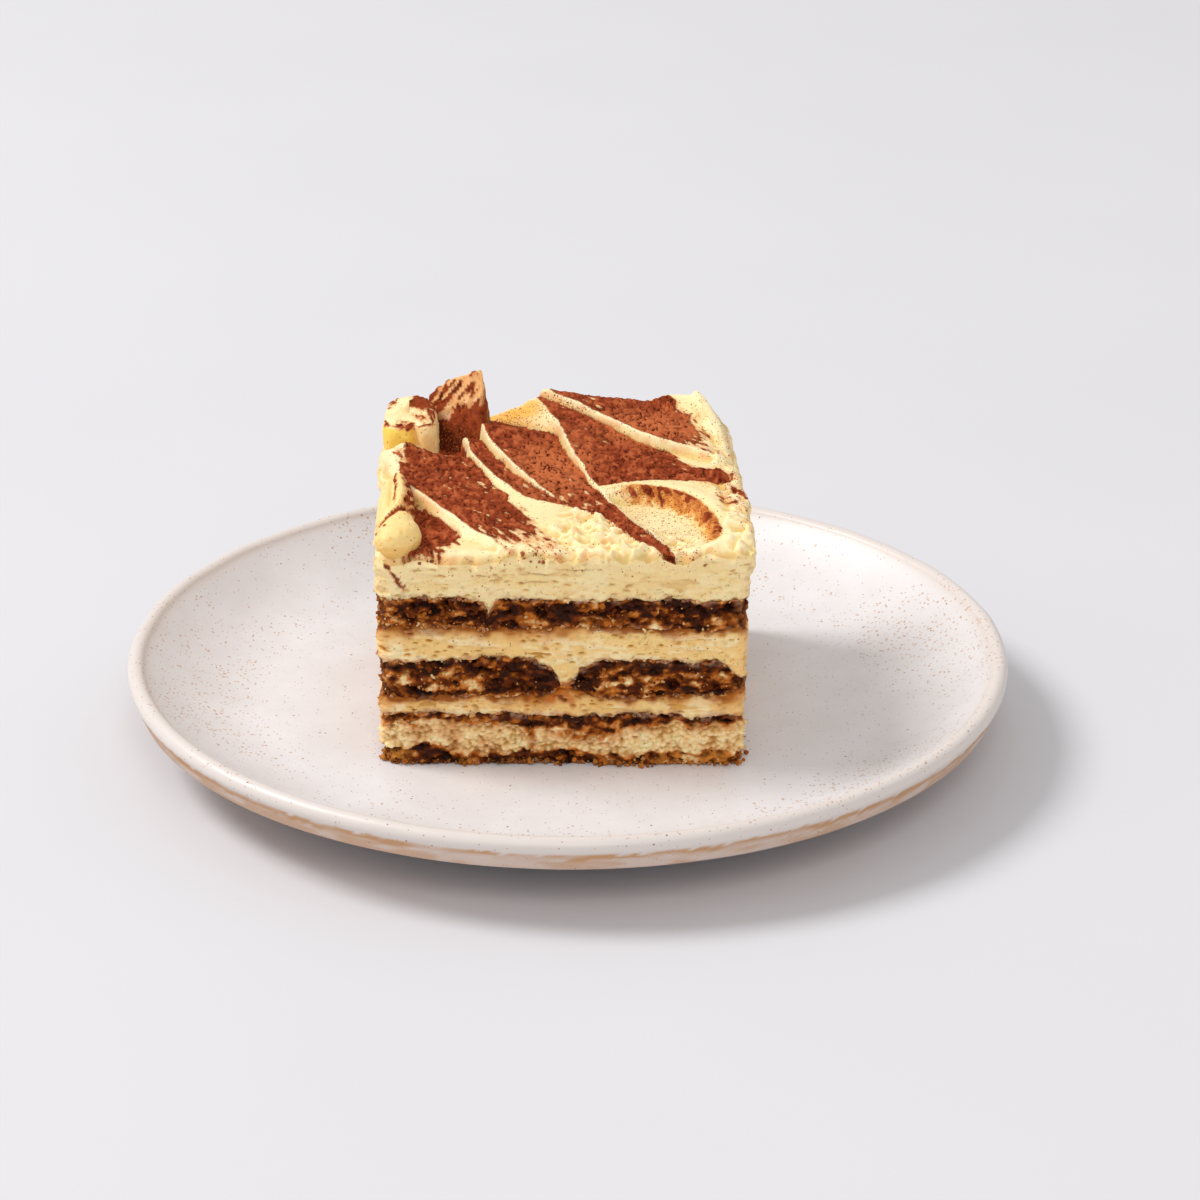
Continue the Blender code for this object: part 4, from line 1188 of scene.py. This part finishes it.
def make_top(cream):
    """The swirled top layer: the top, and a wall from its rim down to the top fingers."""
    nx, ny, rows = 230, 218, 36
    u, v = np.meshgrid(np.linspace(-1, 1, nx), np.linspace(-1, 1, ny))
    top, cocoa, dust, stain, edge = top_places(u, v)
    ring = np.concatenate((np.arange(nx - 1), np.arange(ny - 1) * nx + nx - 1,
                           (ny - 1) * nx + np.arange(nx - 1, 0, -1),
                           np.arange(ny - 1, 0, -1) * nx))
    rim = top.reshape(-1, 3)[ring]
    bx, by = block_place(u.ravel()[ring], v.ravel()[ring], LEFT, RIGHT, FRONT, BACK)
    tx, ty = np.roll(bx, -1) - np.roll(bx, 1), np.roll(by, -1) - np.roll(by, 1)
    size = np.hypot(tx, ty)
    ox, oy = ty / size, -tx / size
    low = finger_surface(bx, by, "top", 1)
    t = np.linspace(0, 1, rows)[:-1, None]
    z = low + (rim[:, 2] - low) * t
    p = points(bx, by, z)
    down, up = z - low, rim[:, 2] - z
    out = cream_push(p, down, up + 3) * ease(t, 1.0, 0.85) + spread(z)
    lean = ease(t, 0.25, 1.15) / ease(1.0, 0.25, 1.15)
    wall = points(bx + ox * out + lean * (rim[:, 0] - bx), by + oy * out + lean * (rim[:, 1] - by), z)
    count, columns = nx * ny, len(ring)
    places = np.concatenate((top.reshape(-1, 3), wall.reshape(-1, 3),
                             np.array(((MIDDLE_X, 0.0, 48.0),))))
    quads = [grid_quads(ny, nx, False), count + grid_quads(rows - 1, columns, True)]
    c = np.arange(columns)
    n = np.roll(c, -1)
    last = count + (rows - 2) * columns
    quads.append(np.stack((last + c, last + n, ring[n], ring[c]), 1))
    tip = len(places) - 1
    triangles = np.stack((count + n, count + c, np.full(columns, tip)), 1)
    deep = np.clip(0.08 + 0.16 * noise(top, 7.0, 103), 0, 1)
    tint_top = mix(np.broadcast_to(CREAM, top.shape), CREAM_DEEP, deep)
    tx, ty = top[..., 0], top[..., 1]
    # painted shadow: deeper amber where the front curl and the petal cast their shadow on the top
    painted_shadow_patches = patch(tx, ty, -31, -15, 7, 16, 0.9) + patch(tx, ty, -14, 32, 9, 9, 0.7)
    tint_top = mix(tint_top, AMBER, 0.5 * np.clip(painted_shadow_patches, 0, 1))
    tint_top = mix(tint_top, tone(236, 176, 60), 0.9 * patch(tx, ty, -15, 34, 15, 12, 0.7))
    honey = ease(noise(top, (5.0, 5.0, 4.0), 106), 0.15, 0.6) * ease(tx, 26, 34)
    tint_top = mix(tint_top, AMBER, 0.55 * honey)
    # painted shade and highlight: cream deeper in the top's hollows and paler on its crests, from its
    # height less its blurred height
    smooth = top[..., 2]
    for _ in range(14):
        around = np.pad(smooth, 1, mode="edge")
        smooth = (around[:-2, 1:-1] + around[2:, 1:-1] + around[1:-1, :-2] + around[1:-1, 2:]) / 4
    relief = top[..., 2] - smooth
    tint_top = mix(tint_top, tone(226, 192, 108), 0.75 * ease(relief, -0.02, -0.35))
    tint_top = mix(tint_top, CREAM_PALE, 0.6 * ease(relief, 0.02, 0.3))
    mottled = ease(noise(top, (1.0, 2.0, 1.5), 104), -0.7, 0.4)
    spotted = stain + 0.34 * rough_noise(top, 0.95, 107, 2) * ease(stain, 0.0, 0.1)
    tint_top = mix(tint_top, tone(222, 146, 50), 0.85 * ease(spotted, 0.12, 0.5))
    tint_top = mix(tint_top, tone(158, 72, 12), 0.8 * ease(spotted, 0.3, 0.75) * mottled)
    slope = np.hypot(*np.gradient(top[..., 2])) / 0.37
    blotch = ease(slope, 0.7, 1.5) * ease(noise(top, (2.2, 3.0, 2.0), 105), -0.1, 0.6)
    tint_top = mix(tint_top, COCOA_HALO, 0.4 * blotch)
    cover, halo = cocoa_cover(top, cocoa)
    tint_top = mix(tint_top, COCOA_HALO, 0.6 * halo)
    tint_top = mix(tint_top, COCOA_DARK, cover)
    tint_wall, _ = cream_colour(p, down, up + 3, out, 0.0)
    # paler top cream, with painted light that grows towards the wall's top edge
    tint_wall = mix(tint_wall, tone(255, 228, 170), 0.5 + 0.3 * ease(up, 6, 1))
    streak = np.abs(bx + 39.0 - 0.55 * (56.5 - z) + 0.6 * noise(p, 2.0, 140))
    streak = ease(streak, 1.0, 0.1) * ease(z, 47.0, 50) * ease(z, 59.5, 57.5) * (by < FRONT + 2)
    brown = ease(streak + 0.9 * noise(p, 0.7, 141), 0.35, 0.8) * ease(streak, 0.0, 0.15)
    tint_wall = mix(tint_wall, COCOA_HALO, 0.6 * ease(streak + 0.4 * noise(p, 1.2, 142), 0.2, 0.7))
    tint_wall = mix(tint_wall, mix(COCOA, COCOA_DARK, 0.5), 0.95 * brown)
    tint = np.concatenate((tint_top.reshape(-1, 3), tint_wall.reshape(-1, 3), CREAM[None]))
    matt = np.maximum(cover, 0.7 * ease(stain, 0.0, 0.5))
    powder = np.concatenate((matt.ravel(), (0.8 * brown).ravel(), (0.0,)))
    cut = np.concatenate((0 * dust.ravel(), ease(up + 0 * z, 0.5, 3.0).ravel(), (1.0,)))
    fringe = cocoa
    for _ in range(10):
        around = np.pad(fringe, 1, mode="edge")
        fringe = (around[:-2, 1:-1] + around[2:, 1:-1] + around[1:-1, :-2] + around[1:-1, 2:]) / 4
    loose = 0.3 * ease(fringe, 0.02, 0.35) * (1 - 0.85 * ease(slope, 0.5, 1.2))
    dust = np.concatenate((np.maximum(np.maximum(dust, loose), 0.75 * halo).ravel(),
                           (0.02 + 0.05 * ease(up, 4, 0)).ravel(), (0.0,)))
    make_piece("cream_top_swirled", places, np.concatenate(quads), triangles, cream, "cream",
               ("cream_top",), tint=tint, dust=dust, cut=cut, powder=powder)


def shell(places, thick, faces_kept, depth):
    """A closed crust: kept cells of a grid, a copy of them further down, and sides between."""
    rows, columns = thick.shape
    quads = grid_quads(rows, columns, False)[faces_kept.ravel()]
    count = rows * columns
    edges = np.concatenate([quads[:, [k, (k + 1) % 4]] for k in range(4)])
    key = np.sort(edges, 1)
    _, first, uses = np.unique(key[:, 0] * count + key[:, 1], return_index=True, return_counts=True)
    rim = edges[first[uses == 1]]
    side = np.stack((rim[:, 1], rim[:, 0], rim[:, 0] + count, rim[:, 1] + count), 1)
    faces = np.concatenate((quads, quads[:, ::-1] + count, side))
    below = places.reshape(-1, 3) - (0, 0, depth)
    both = np.concatenate((places.reshape(-1, 3), below))
    used, index = np.unique(faces, return_inverse=True)
    return both[used], index.reshape(-1, 4), used % count


def make_cocoa(material):
    """Cocoa on the leaves: a thin matted crust that rises out of the cream where cocoa lies.

    Noise decides where it breaks: it stands out where the noise is below the covered share.
    """
    nx, ny = 290, 275
    u, v = np.meshgrid(np.linspace(-0.99, 0.99, nx), np.linspace(-0.99, 0.99, ny))
    top, cocoa, _, _, _ = top_places(u, v)
    thick, _ = cocoa_cover(top, cocoa)
    p = top * (1, 1, 0.3)
    worms = np.abs(rough_noise(p, (0.95, 1.8, 1.0), 114, 2, 0.5))
    crevice = ease(worms, 0.2, 0.0)
    flakes = rough_noise(p, (1.0, 2.0, 1.0), 117, 2, 0.6)
    lift = -0.3 + 0.5 * thick + thick * (0.14 * flakes - 0.42 * crevice)
    keep = np.maximum(np.maximum(thick[:-1, :-1], thick[1:, :-1]),
                      np.maximum(thick[:-1, 1:], thick[1:, 1:])) > 0.02
    for _ in range(4):
        near_left, near_right = keep[:-1, :-1], keep[:-1, 1:]
        far_left, far_right = keep[1:, :-1], keep[1:, 1:]
        near_right |= near_left & far_right & ~far_left
        near_left |= near_right & far_left & ~far_right
    skin = top + lift[..., None] * (0, 0, 1)
    places, quads, source = shell(skin, thick, keep, 0.7)
    pale = patch(top[..., 0], top[..., 1], -3, 2, 14, 24, 0.8)
    pale = np.maximum(pale, 0.95 * patch(top[..., 0], top[..., 1], 20, 22, 22, 13, 0.8))
    tint = mix(np.broadcast_to(COCOA, top.shape), COCOA_LIGHT, pale)
    # painted shade in the crevices and painted highlight on the raised flakes of the crust
    tint = mix(tint, COCOA_DARK, np.clip(0.05 + 0.9 * crevice - 0.5 * flakes, 0, 1))
    tint = mix(tint, COCOA_LIGHT, 0.6 * ease(flakes, 0.15, 0.6) * (1 - crevice)).reshape(-1, 3)
    make_piece("cocoa_dusting", places, quads, (), material, "cocoa", tint=tint[source])


# --- folded curls that stand on the top ------------------------------------------------------

def loft(sections):
    """A closed tube through rings of points, with a fan at each end."""
    rows, columns = sections.shape[:2]
    ends = np.stack((sections[0].mean(0), sections[-1].mean(0)))
    places = np.concatenate((sections.reshape(-1, 3), ends))
    ring = np.arange(columns)
    nxt = np.roll(ring, -1)
    last = (rows - 1) * columns
    low = np.stack((nxt, ring, np.full(columns, rows * columns)), 1)
    high = np.stack((last + ring, last + nxt, np.full(columns, rows * columns + 1)), 1)
    return places, grid_quads(rows, columns, True), np.concatenate((low, high))


def make_curl(name, sections, cocoa, dust, base, cream, seed, shade=1.0):
    """A piece of swirled cream from its rings, roughened a little and dusted; shade multiplies its tint
    as painted shade.
    """
    p = sections
    along = np.gradient(p, axis=0)
    around = (np.roll(p, -1, axis=1) - np.roll(p, 1, axis=1)) / 2
    out = np.cross(around, along)
    out = out / np.maximum(np.linalg.norm(out, axis=-1, keepdims=True), 1e-9)
    p = p + out * (0.22 * noise(p, 3.0, seed) + 0.14 * rough_noise(p, 1.2, seed + 1, 2))[..., None]
    grain = 0.5 + 0.5 * rough_noise(p, (1.5, 1.5, 1.1), seed + 5, 3, 0.7)
    past = 1.25 * cocoa - 0.16 - grain
    cover = ease(past, -0.1, 0.1)
    halo = ease(past, -0.5, -0.05) * ease(cocoa, 0.02, 0.15)
    flakes = rough_noise(p, 0.9, seed + 12, 2)
    p = p + out * (cover * (0.14 + 0.2 * flakes))[..., None]
    tint = mix(base, CREAM_DEEP, np.clip(0.08 + 0.15 * flakes, 0, 1))
    tint = mix(tint, COCOA_HALO, 0.65 * halo)
    # painted shade: the cocoa is darker where the flakes sit lower
    brown = mix(np.broadcast_to(COCOA, p.shape), COCOA_DARK, np.clip(0.25 - 0.8 * flakes, 0, 1))
    tint = tint * (1 - cover[..., None]) + brown * cover[..., None]
    # painted shade: the tint is multiplied by shade
    tint = tint * (np.ones(cover.shape) * shade)[..., None]
    places, quads, triangles = loft(p)
    count = p.shape[0] * p.shape[1]

    def pad(values):
        flat = values.reshape(count, -1)
        return np.concatenate((flat, values[0].mean(0).reshape(1, -1),
                               values[-1].mean(0).reshape(1, -1)))

    make_piece(name, places, quads, triangles, cream, "cream", tint=pad(tint),
               dust=pad(np.maximum(dust, 0.5 * cocoa)).ravel(), powder=pad(cover).ravel())


def make_fin(cream):
    """The petal that stands at the back left: a curved sheet, thick at its foot, leaning back.

    Each ring goes up the front from the foot line to the edge line, and down the back.
    """
    columns = 70
    s = np.linspace(0, 1, 90)
    knots = np.array((0, .2, .45, .7, .88, 1.0))
    foot = np.stack([np.interp(s, knots, k) for k in (
        (-33.5, -31.5, -28.0, -24.0, -20.8, -18.6), (24.0, 19.5, 16.8, 16.6, 18.5, 22.0),
        (57.5, 57.5, 57.5, 57.0, 57.0, 57.5))], 1)
    tip = np.stack([np.interp(s, knots, k) for k in (
        (-34.0, -32.2, -28.0, -23.0, -20.0, -18.2), (28.0, 32.0, 32.6, 31.8, 31.0, 27.0),
        (62.0, 68.0, 71.6, 73.6, 74.6, 63.5))], 1)
    back = np.stack([np.interp(s, knots, k) for k in (
        (-33.0, -31.5, -27.5, -23.5, -20.5, -18.6), (31.0, 36.0, 37.2, 37.2, 36.0, 31.0),
        (57.5, 57.5, 57.5, 57.5, 57.5, 57.5))], 1)
    kernel = np.ones(5) / 5
    for line in (foot, tip, back):
        for k in range(3):
            padded = np.pad(line[:, k], 2, mode="edge")
            line[:, k] = np.convolve(padded, kernel, "valid")
    t = np.linspace(0, 1, columns // 2)[:, None, None]
    hollow = np.array((0.25, 1.0, -0.35)) * 1.7
    front = foot + (tip - foot) * t + hollow * np.sin(math.pi * t) * np.sin(math.pi * s)[:, None] ** 0.5
    rear = tip + (back - tip) * t + np.array((0, 0.9, 0)) * np.sin(math.pi * t) ** 0.6
    p = np.moveaxis(np.concatenate((front[:-1], rear[:-1], back[None])), 0, 1)
    height = p[..., 2]
    facing = np.broadcast_to((np.arange(p.shape[1]) < columns // 2), height.shape)
    slant = points(0.75 * p[..., 0] - 0.66 * height, 0 * height, 0.3 * (p[..., 0] + height))
    streaks = noise(slant, (0.6, 1.0, 1.1), 305) + 0.35 * noise(slant, (0.3, 1.0, 0.7), 306)
    # dark cocoa on the petal's lower front: partly real cocoa, partly painted shade at its foot
    low = ease(height - 0.35 * (p[..., 0] + 26), 68.5, 62.5)
    cocoa = np.clip(0.26 + 0.8 * low + 1.15 * streaks * (1 - low), 0, 1)
    cocoa = facing * cocoa * ease(p[..., 0], -18.4, -19.8)
    cocoa = cocoa + (~facing) * 0.25
    base = mix(np.broadcast_to(CREAM, p.shape), tone(240, 172, 104), 0.8 * facing)
    base = mix(base, COCOA_DARK, 0.9 * low * facing)
    # painted shade: the lower front of the petal is darkened through shade
    dim = 1 - 0.72 * facing * ease(height + 0.3 * (p[..., 0] + 26), 66.0, 60.0)
    make_curl("standing_petal", p[:, ::-1], cocoa[:, ::-1], 0.1 + 0 * cocoa, base[:, ::-1], cream,
              300, dim[:, ::-1])


def make_back_curl(cream):
    """The folded curl at the back left: level rings of a squarish drum with a crease in front.

    The rings shrink as the root of 1 - t¹¹ towards the top, which is rolled over.
    """
    columns = 150
    t = np.concatenate((np.linspace(0, 0.8, 26), np.sin(np.linspace(0.93, math.pi / 2, 26))))[:, None]
    a = np.linspace(0, 2 * math.pi, columns, endpoint=False)
    c, s = np.cos(a), np.sin(a)
    square = (np.abs(c) ** 3.2 + np.abs(s) ** 3.2) ** (-1 / 3.2)
    shrink = np.sqrt(np.maximum(1 - t ** 11, 0)) * (1 + 0.06 * np.sin(3 * t))
    crease = np.exp(-((a - 4.95) / 0.13) ** 2) * 0.24 * ease(t, 1.0, 0.75)
    fold = 1 + 0.10 * np.exp(-((a - 5.5) / 0.4) ** 2)
    ledge = 1 + 0.07 * ease(t, 0.86, 0.82) * ease(s, -0.3, -0.7)
    r = square * shrink * (1 - crease) * fold * ledge
    top = 11.4 + 1.4 * s + 0.3 * c
    x = -36.0 + 5.9 * r * c - 0.7 * t
    y = 24.0 + 6.7 * r * s + 0.4 * t
    z = 56.6 + top * t + 0 * a
    p = points(x, y, z)
    rim = ease(t, 0.7, 0.92) * ease(c, 0.1, 0.7) * (0.3 + 0.6 * ease(s, -0.7, 0.2))
    spots = 0.55 * ease(t, 0.72, 0.9) * ease(noise(p, 2.4, 330), 0.0, 0.5)
    line = 0.7 * np.exp(-((t - 0.85) / 0.02) ** 2) * ease(s, -0.3, -0.6)
    # painted light: the front panel is a saturated bright yellow, standing in for light glowing through
    # the cream
    panel = ease(s, -0.2, -0.6) * ease(t, 0.84, 0.8) * ease(t, 0.05, 0.3) * ease(a, 4.98, 4.9)
    base = mix(np.broadcast_to(CREAM, p.shape), tone(255, 212, 78), 0.9 * panel)
    # painted shade: amber on the front of the curl outside the panel, the fold that faces away from the
    # light
    base = mix(base, AMBER, 0.3 * ease(s, -0.2, -0.6) * ease(t, 0.84, 0.8) * (1 - panel))
    cocoa = np.maximum(np.maximum(rim, spots), line) + 0 * a
    make_curl("back_curl", p, cocoa, 0.03 + 0 * z, base, cream, 320)


def make_front_curl(cream):
    """The folded curl at the front left: upright rings along y, with a fold round its front end."""
    columns = 120
    y = -39.0 + 38.0 * (1 - np.cos(np.linspace(0.03, math.pi - 0.03, 110))) / 2
    along = ((y + 39.0) / 38.0)[:, None]
    a = np.linspace(2 * math.pi, 0, columns, endpoint=False)
    c, s = np.cos(a), np.sin(a)
    close = np.sqrt(np.clip(1 - (1 - np.clip(along / 0.10, 0, 1)) ** 2, 0, 1))
    close = close * np.sqrt(np.clip(1 - (1 - np.clip((1 - along) / 0.3, 0, 1)) ** 2, 0, 1))
    bulb = np.exp(-((along - 0.14) / 0.14) ** 2)
    leaf = np.exp(-((along - 0.48) / 0.2) ** 2)
    half = (3.3 + 1.6 * bulb + 0.9 * leaf) * close
    rise = (4.2 - 0.2 * bulb + 1.5 * leaf + 0.7 * along) * close
    pinch = np.exp(-((along - 0.29 - 0.07 * c) / 0.03) ** 2) * 0.24
    groove = np.exp(-((a - 1.95) / 0.2) ** 2) * 0.2 * ease(along, 0.28, 0.4)
    crest = np.exp(-((a - 1.35) / 0.35) ** 2) * 0.14 * ease(along, 0.28, 0.4)
    r = 1 - pinch - groove + crest
    x = -37.4 + 1.5 * bulb + 0.5 * leaf - 0.9 * along + half * r * c + 0.1 * rise * s
    z = 58.3 + 0.3 * along + rise * r * s
    p = points(x, y[:, None] + 0 * a, z)
    flank = ease(c, 0.1, 0.5) * ease(s, -0.6, 0.1) * ease(along, 0.28, 0.36)
    streaks = noise(points(0.3 * p[..., 1], p[..., 2] + 0.5 * p[..., 1], 0 * z), 1.0, 350)
    tip_line = 0.85 * np.exp(-((along - 0.3 - 0.07 * c) / 0.018) ** 2) * ease(s, -0.1, 0.3)
    tip_line = tip_line * ease(c, 0.9, 0.5)
    crest_line = 0.8 * np.exp(-((a - 1.7) / 0.1) ** 2) * ease(along, 0.3, 0.4)
    cocoa = np.maximum(flank * np.clip(0.6 + 0.55 * streaks, 0, 1), np.maximum(tip_line, crest_line))
    base = mix(np.broadcast_to(tone(252, 218, 144), p.shape), COCOA_HALO, 0.5 * flank)
    # painted shade: amber on the underside of the front bulb
    base = mix(base, AMBER, 0.5 * ease(s, 0.5, -0.4) * ease(along, 0.34, 0.2))
    make_curl("front_curl", p, cocoa, 0.03 + 0 * z, base, cream, 340)


# --- stage ---------------------------------------------------------------------------------------

def make_stage():
    """A pale floor and soft light from the upper left."""
    mesh = bpy.data.meshes.new("pale_floor")
    reach = 6.0
    mesh.from_pydata([(-reach, -reach, 0), (reach, -reach, 0), (reach, reach, 0), (-reach, reach, 0)],
                     [], [(0, 1, 2, 3)])
    floor = bpy.data.objects.new("pale_floor", mesh)
    bpy.context.scene.collection.objects.link(floor)
    material, tree, shader = new_material("pale_stone_floor")
    place = add_node(tree, "ShaderNodeTexCoord")
    cloud = add_node(tree, "ShaderNodeTexNoise",
                     {"Vector": place.outputs["Object"], "Scale": 7.0, "Detail": 4.0})
    shown = mix_colours(tree, cloud.outputs["Fac"], (*tone(214, 213, 216), 1.0),
                        (*tone(219, 218, 221), 1.0))
    tree.links.new(shown, shader.inputs["Base Color"])
    shader.inputs["Roughness"].default_value = 0.6
    mesh.materials.append(material)

    world = bpy.data.worlds.new("soft_room")
    bpy.context.scene.world = world
    world.use_nodes = True
    back = world.node_tree.nodes["Background"]
    back.inputs["Color"].default_value = (1.0, 0.99, 1.0, 1.0)
    back.inputs["Strength"].default_value = 0.575

    for name, place, aim, size, watts in (
            ("key_window", (-2.3, 0.5, 2.7), (0, 0, 0.03), 1.4, 86.0),
            ("front_fill", (0.3, -2.4, 2.4), (0, 0, 0.04), 1.4, 24.0)):
        light = bpy.data.lights.new(name, "AREA")
        light.shape = "DISK"
        light.size = size
        light.energy = watts
        obj = bpy.data.objects.new(name, light)
        obj.location = place
        direction = np.array(aim) - np.array(place)
        yaw = math.atan2(direction[1], direction[0]) - math.pi / 2
        pitch = math.atan2(math.hypot(direction[0], direction[1]), -direction[2])
        obj.rotation_euler = Euler((pitch, 0, yaw))
        bpy.context.scene.collection.objects.link(obj)


def make_camera():
    """The camera looks over the front edge, 23 degrees down."""
    data = bpy.data.cameras.new("camera")
    data.lens = 99.1
    data.sensor_width = 36.0
    data.clip_end = 50
    camera = bpy.data.objects.new("camera", data)
    camera.location = (0.00739, -0.6926, 0.3216)
    tilt = Euler((math.radians(90 - 22.82), 0, 0)).to_matrix()
    roll = Euler((0, 0, math.radians(0.32))).to_matrix()
    camera.rotation_euler = (tilt @ roll).to_euler()
    bpy.context.scene.collection.objects.link(camera)
    bpy.context.scene.camera = camera


def main():
    bpy.context.scene.view_settings.view_transform = "Standard"
    make_camera()
    make_stage()
    groups = {"speckle": speckle_group(), "mottle": mottle_group()}
    cream = cream_material(groups)
    pale = sponge_material(groups, "pale_sponge_crumb", 0.08, 0.35)
    soaked = sponge_material(groups, "soaked_sponge_crumb", 0.2, 0.12)
    cocoa = cocoa_material(groups)
    make_plate(glaze_material(groups))
    make_fingers(pale, soaked)
    make_cream_layers(cream)
    make_sponge_crumbs(pale, soaked)
    make_cream_crumbs(cream)
    make_top(cream)
    make_fin(cream)
    make_back_curl(cream)
    make_front_curl(cream)
    make_cocoa(cocoa)


main()
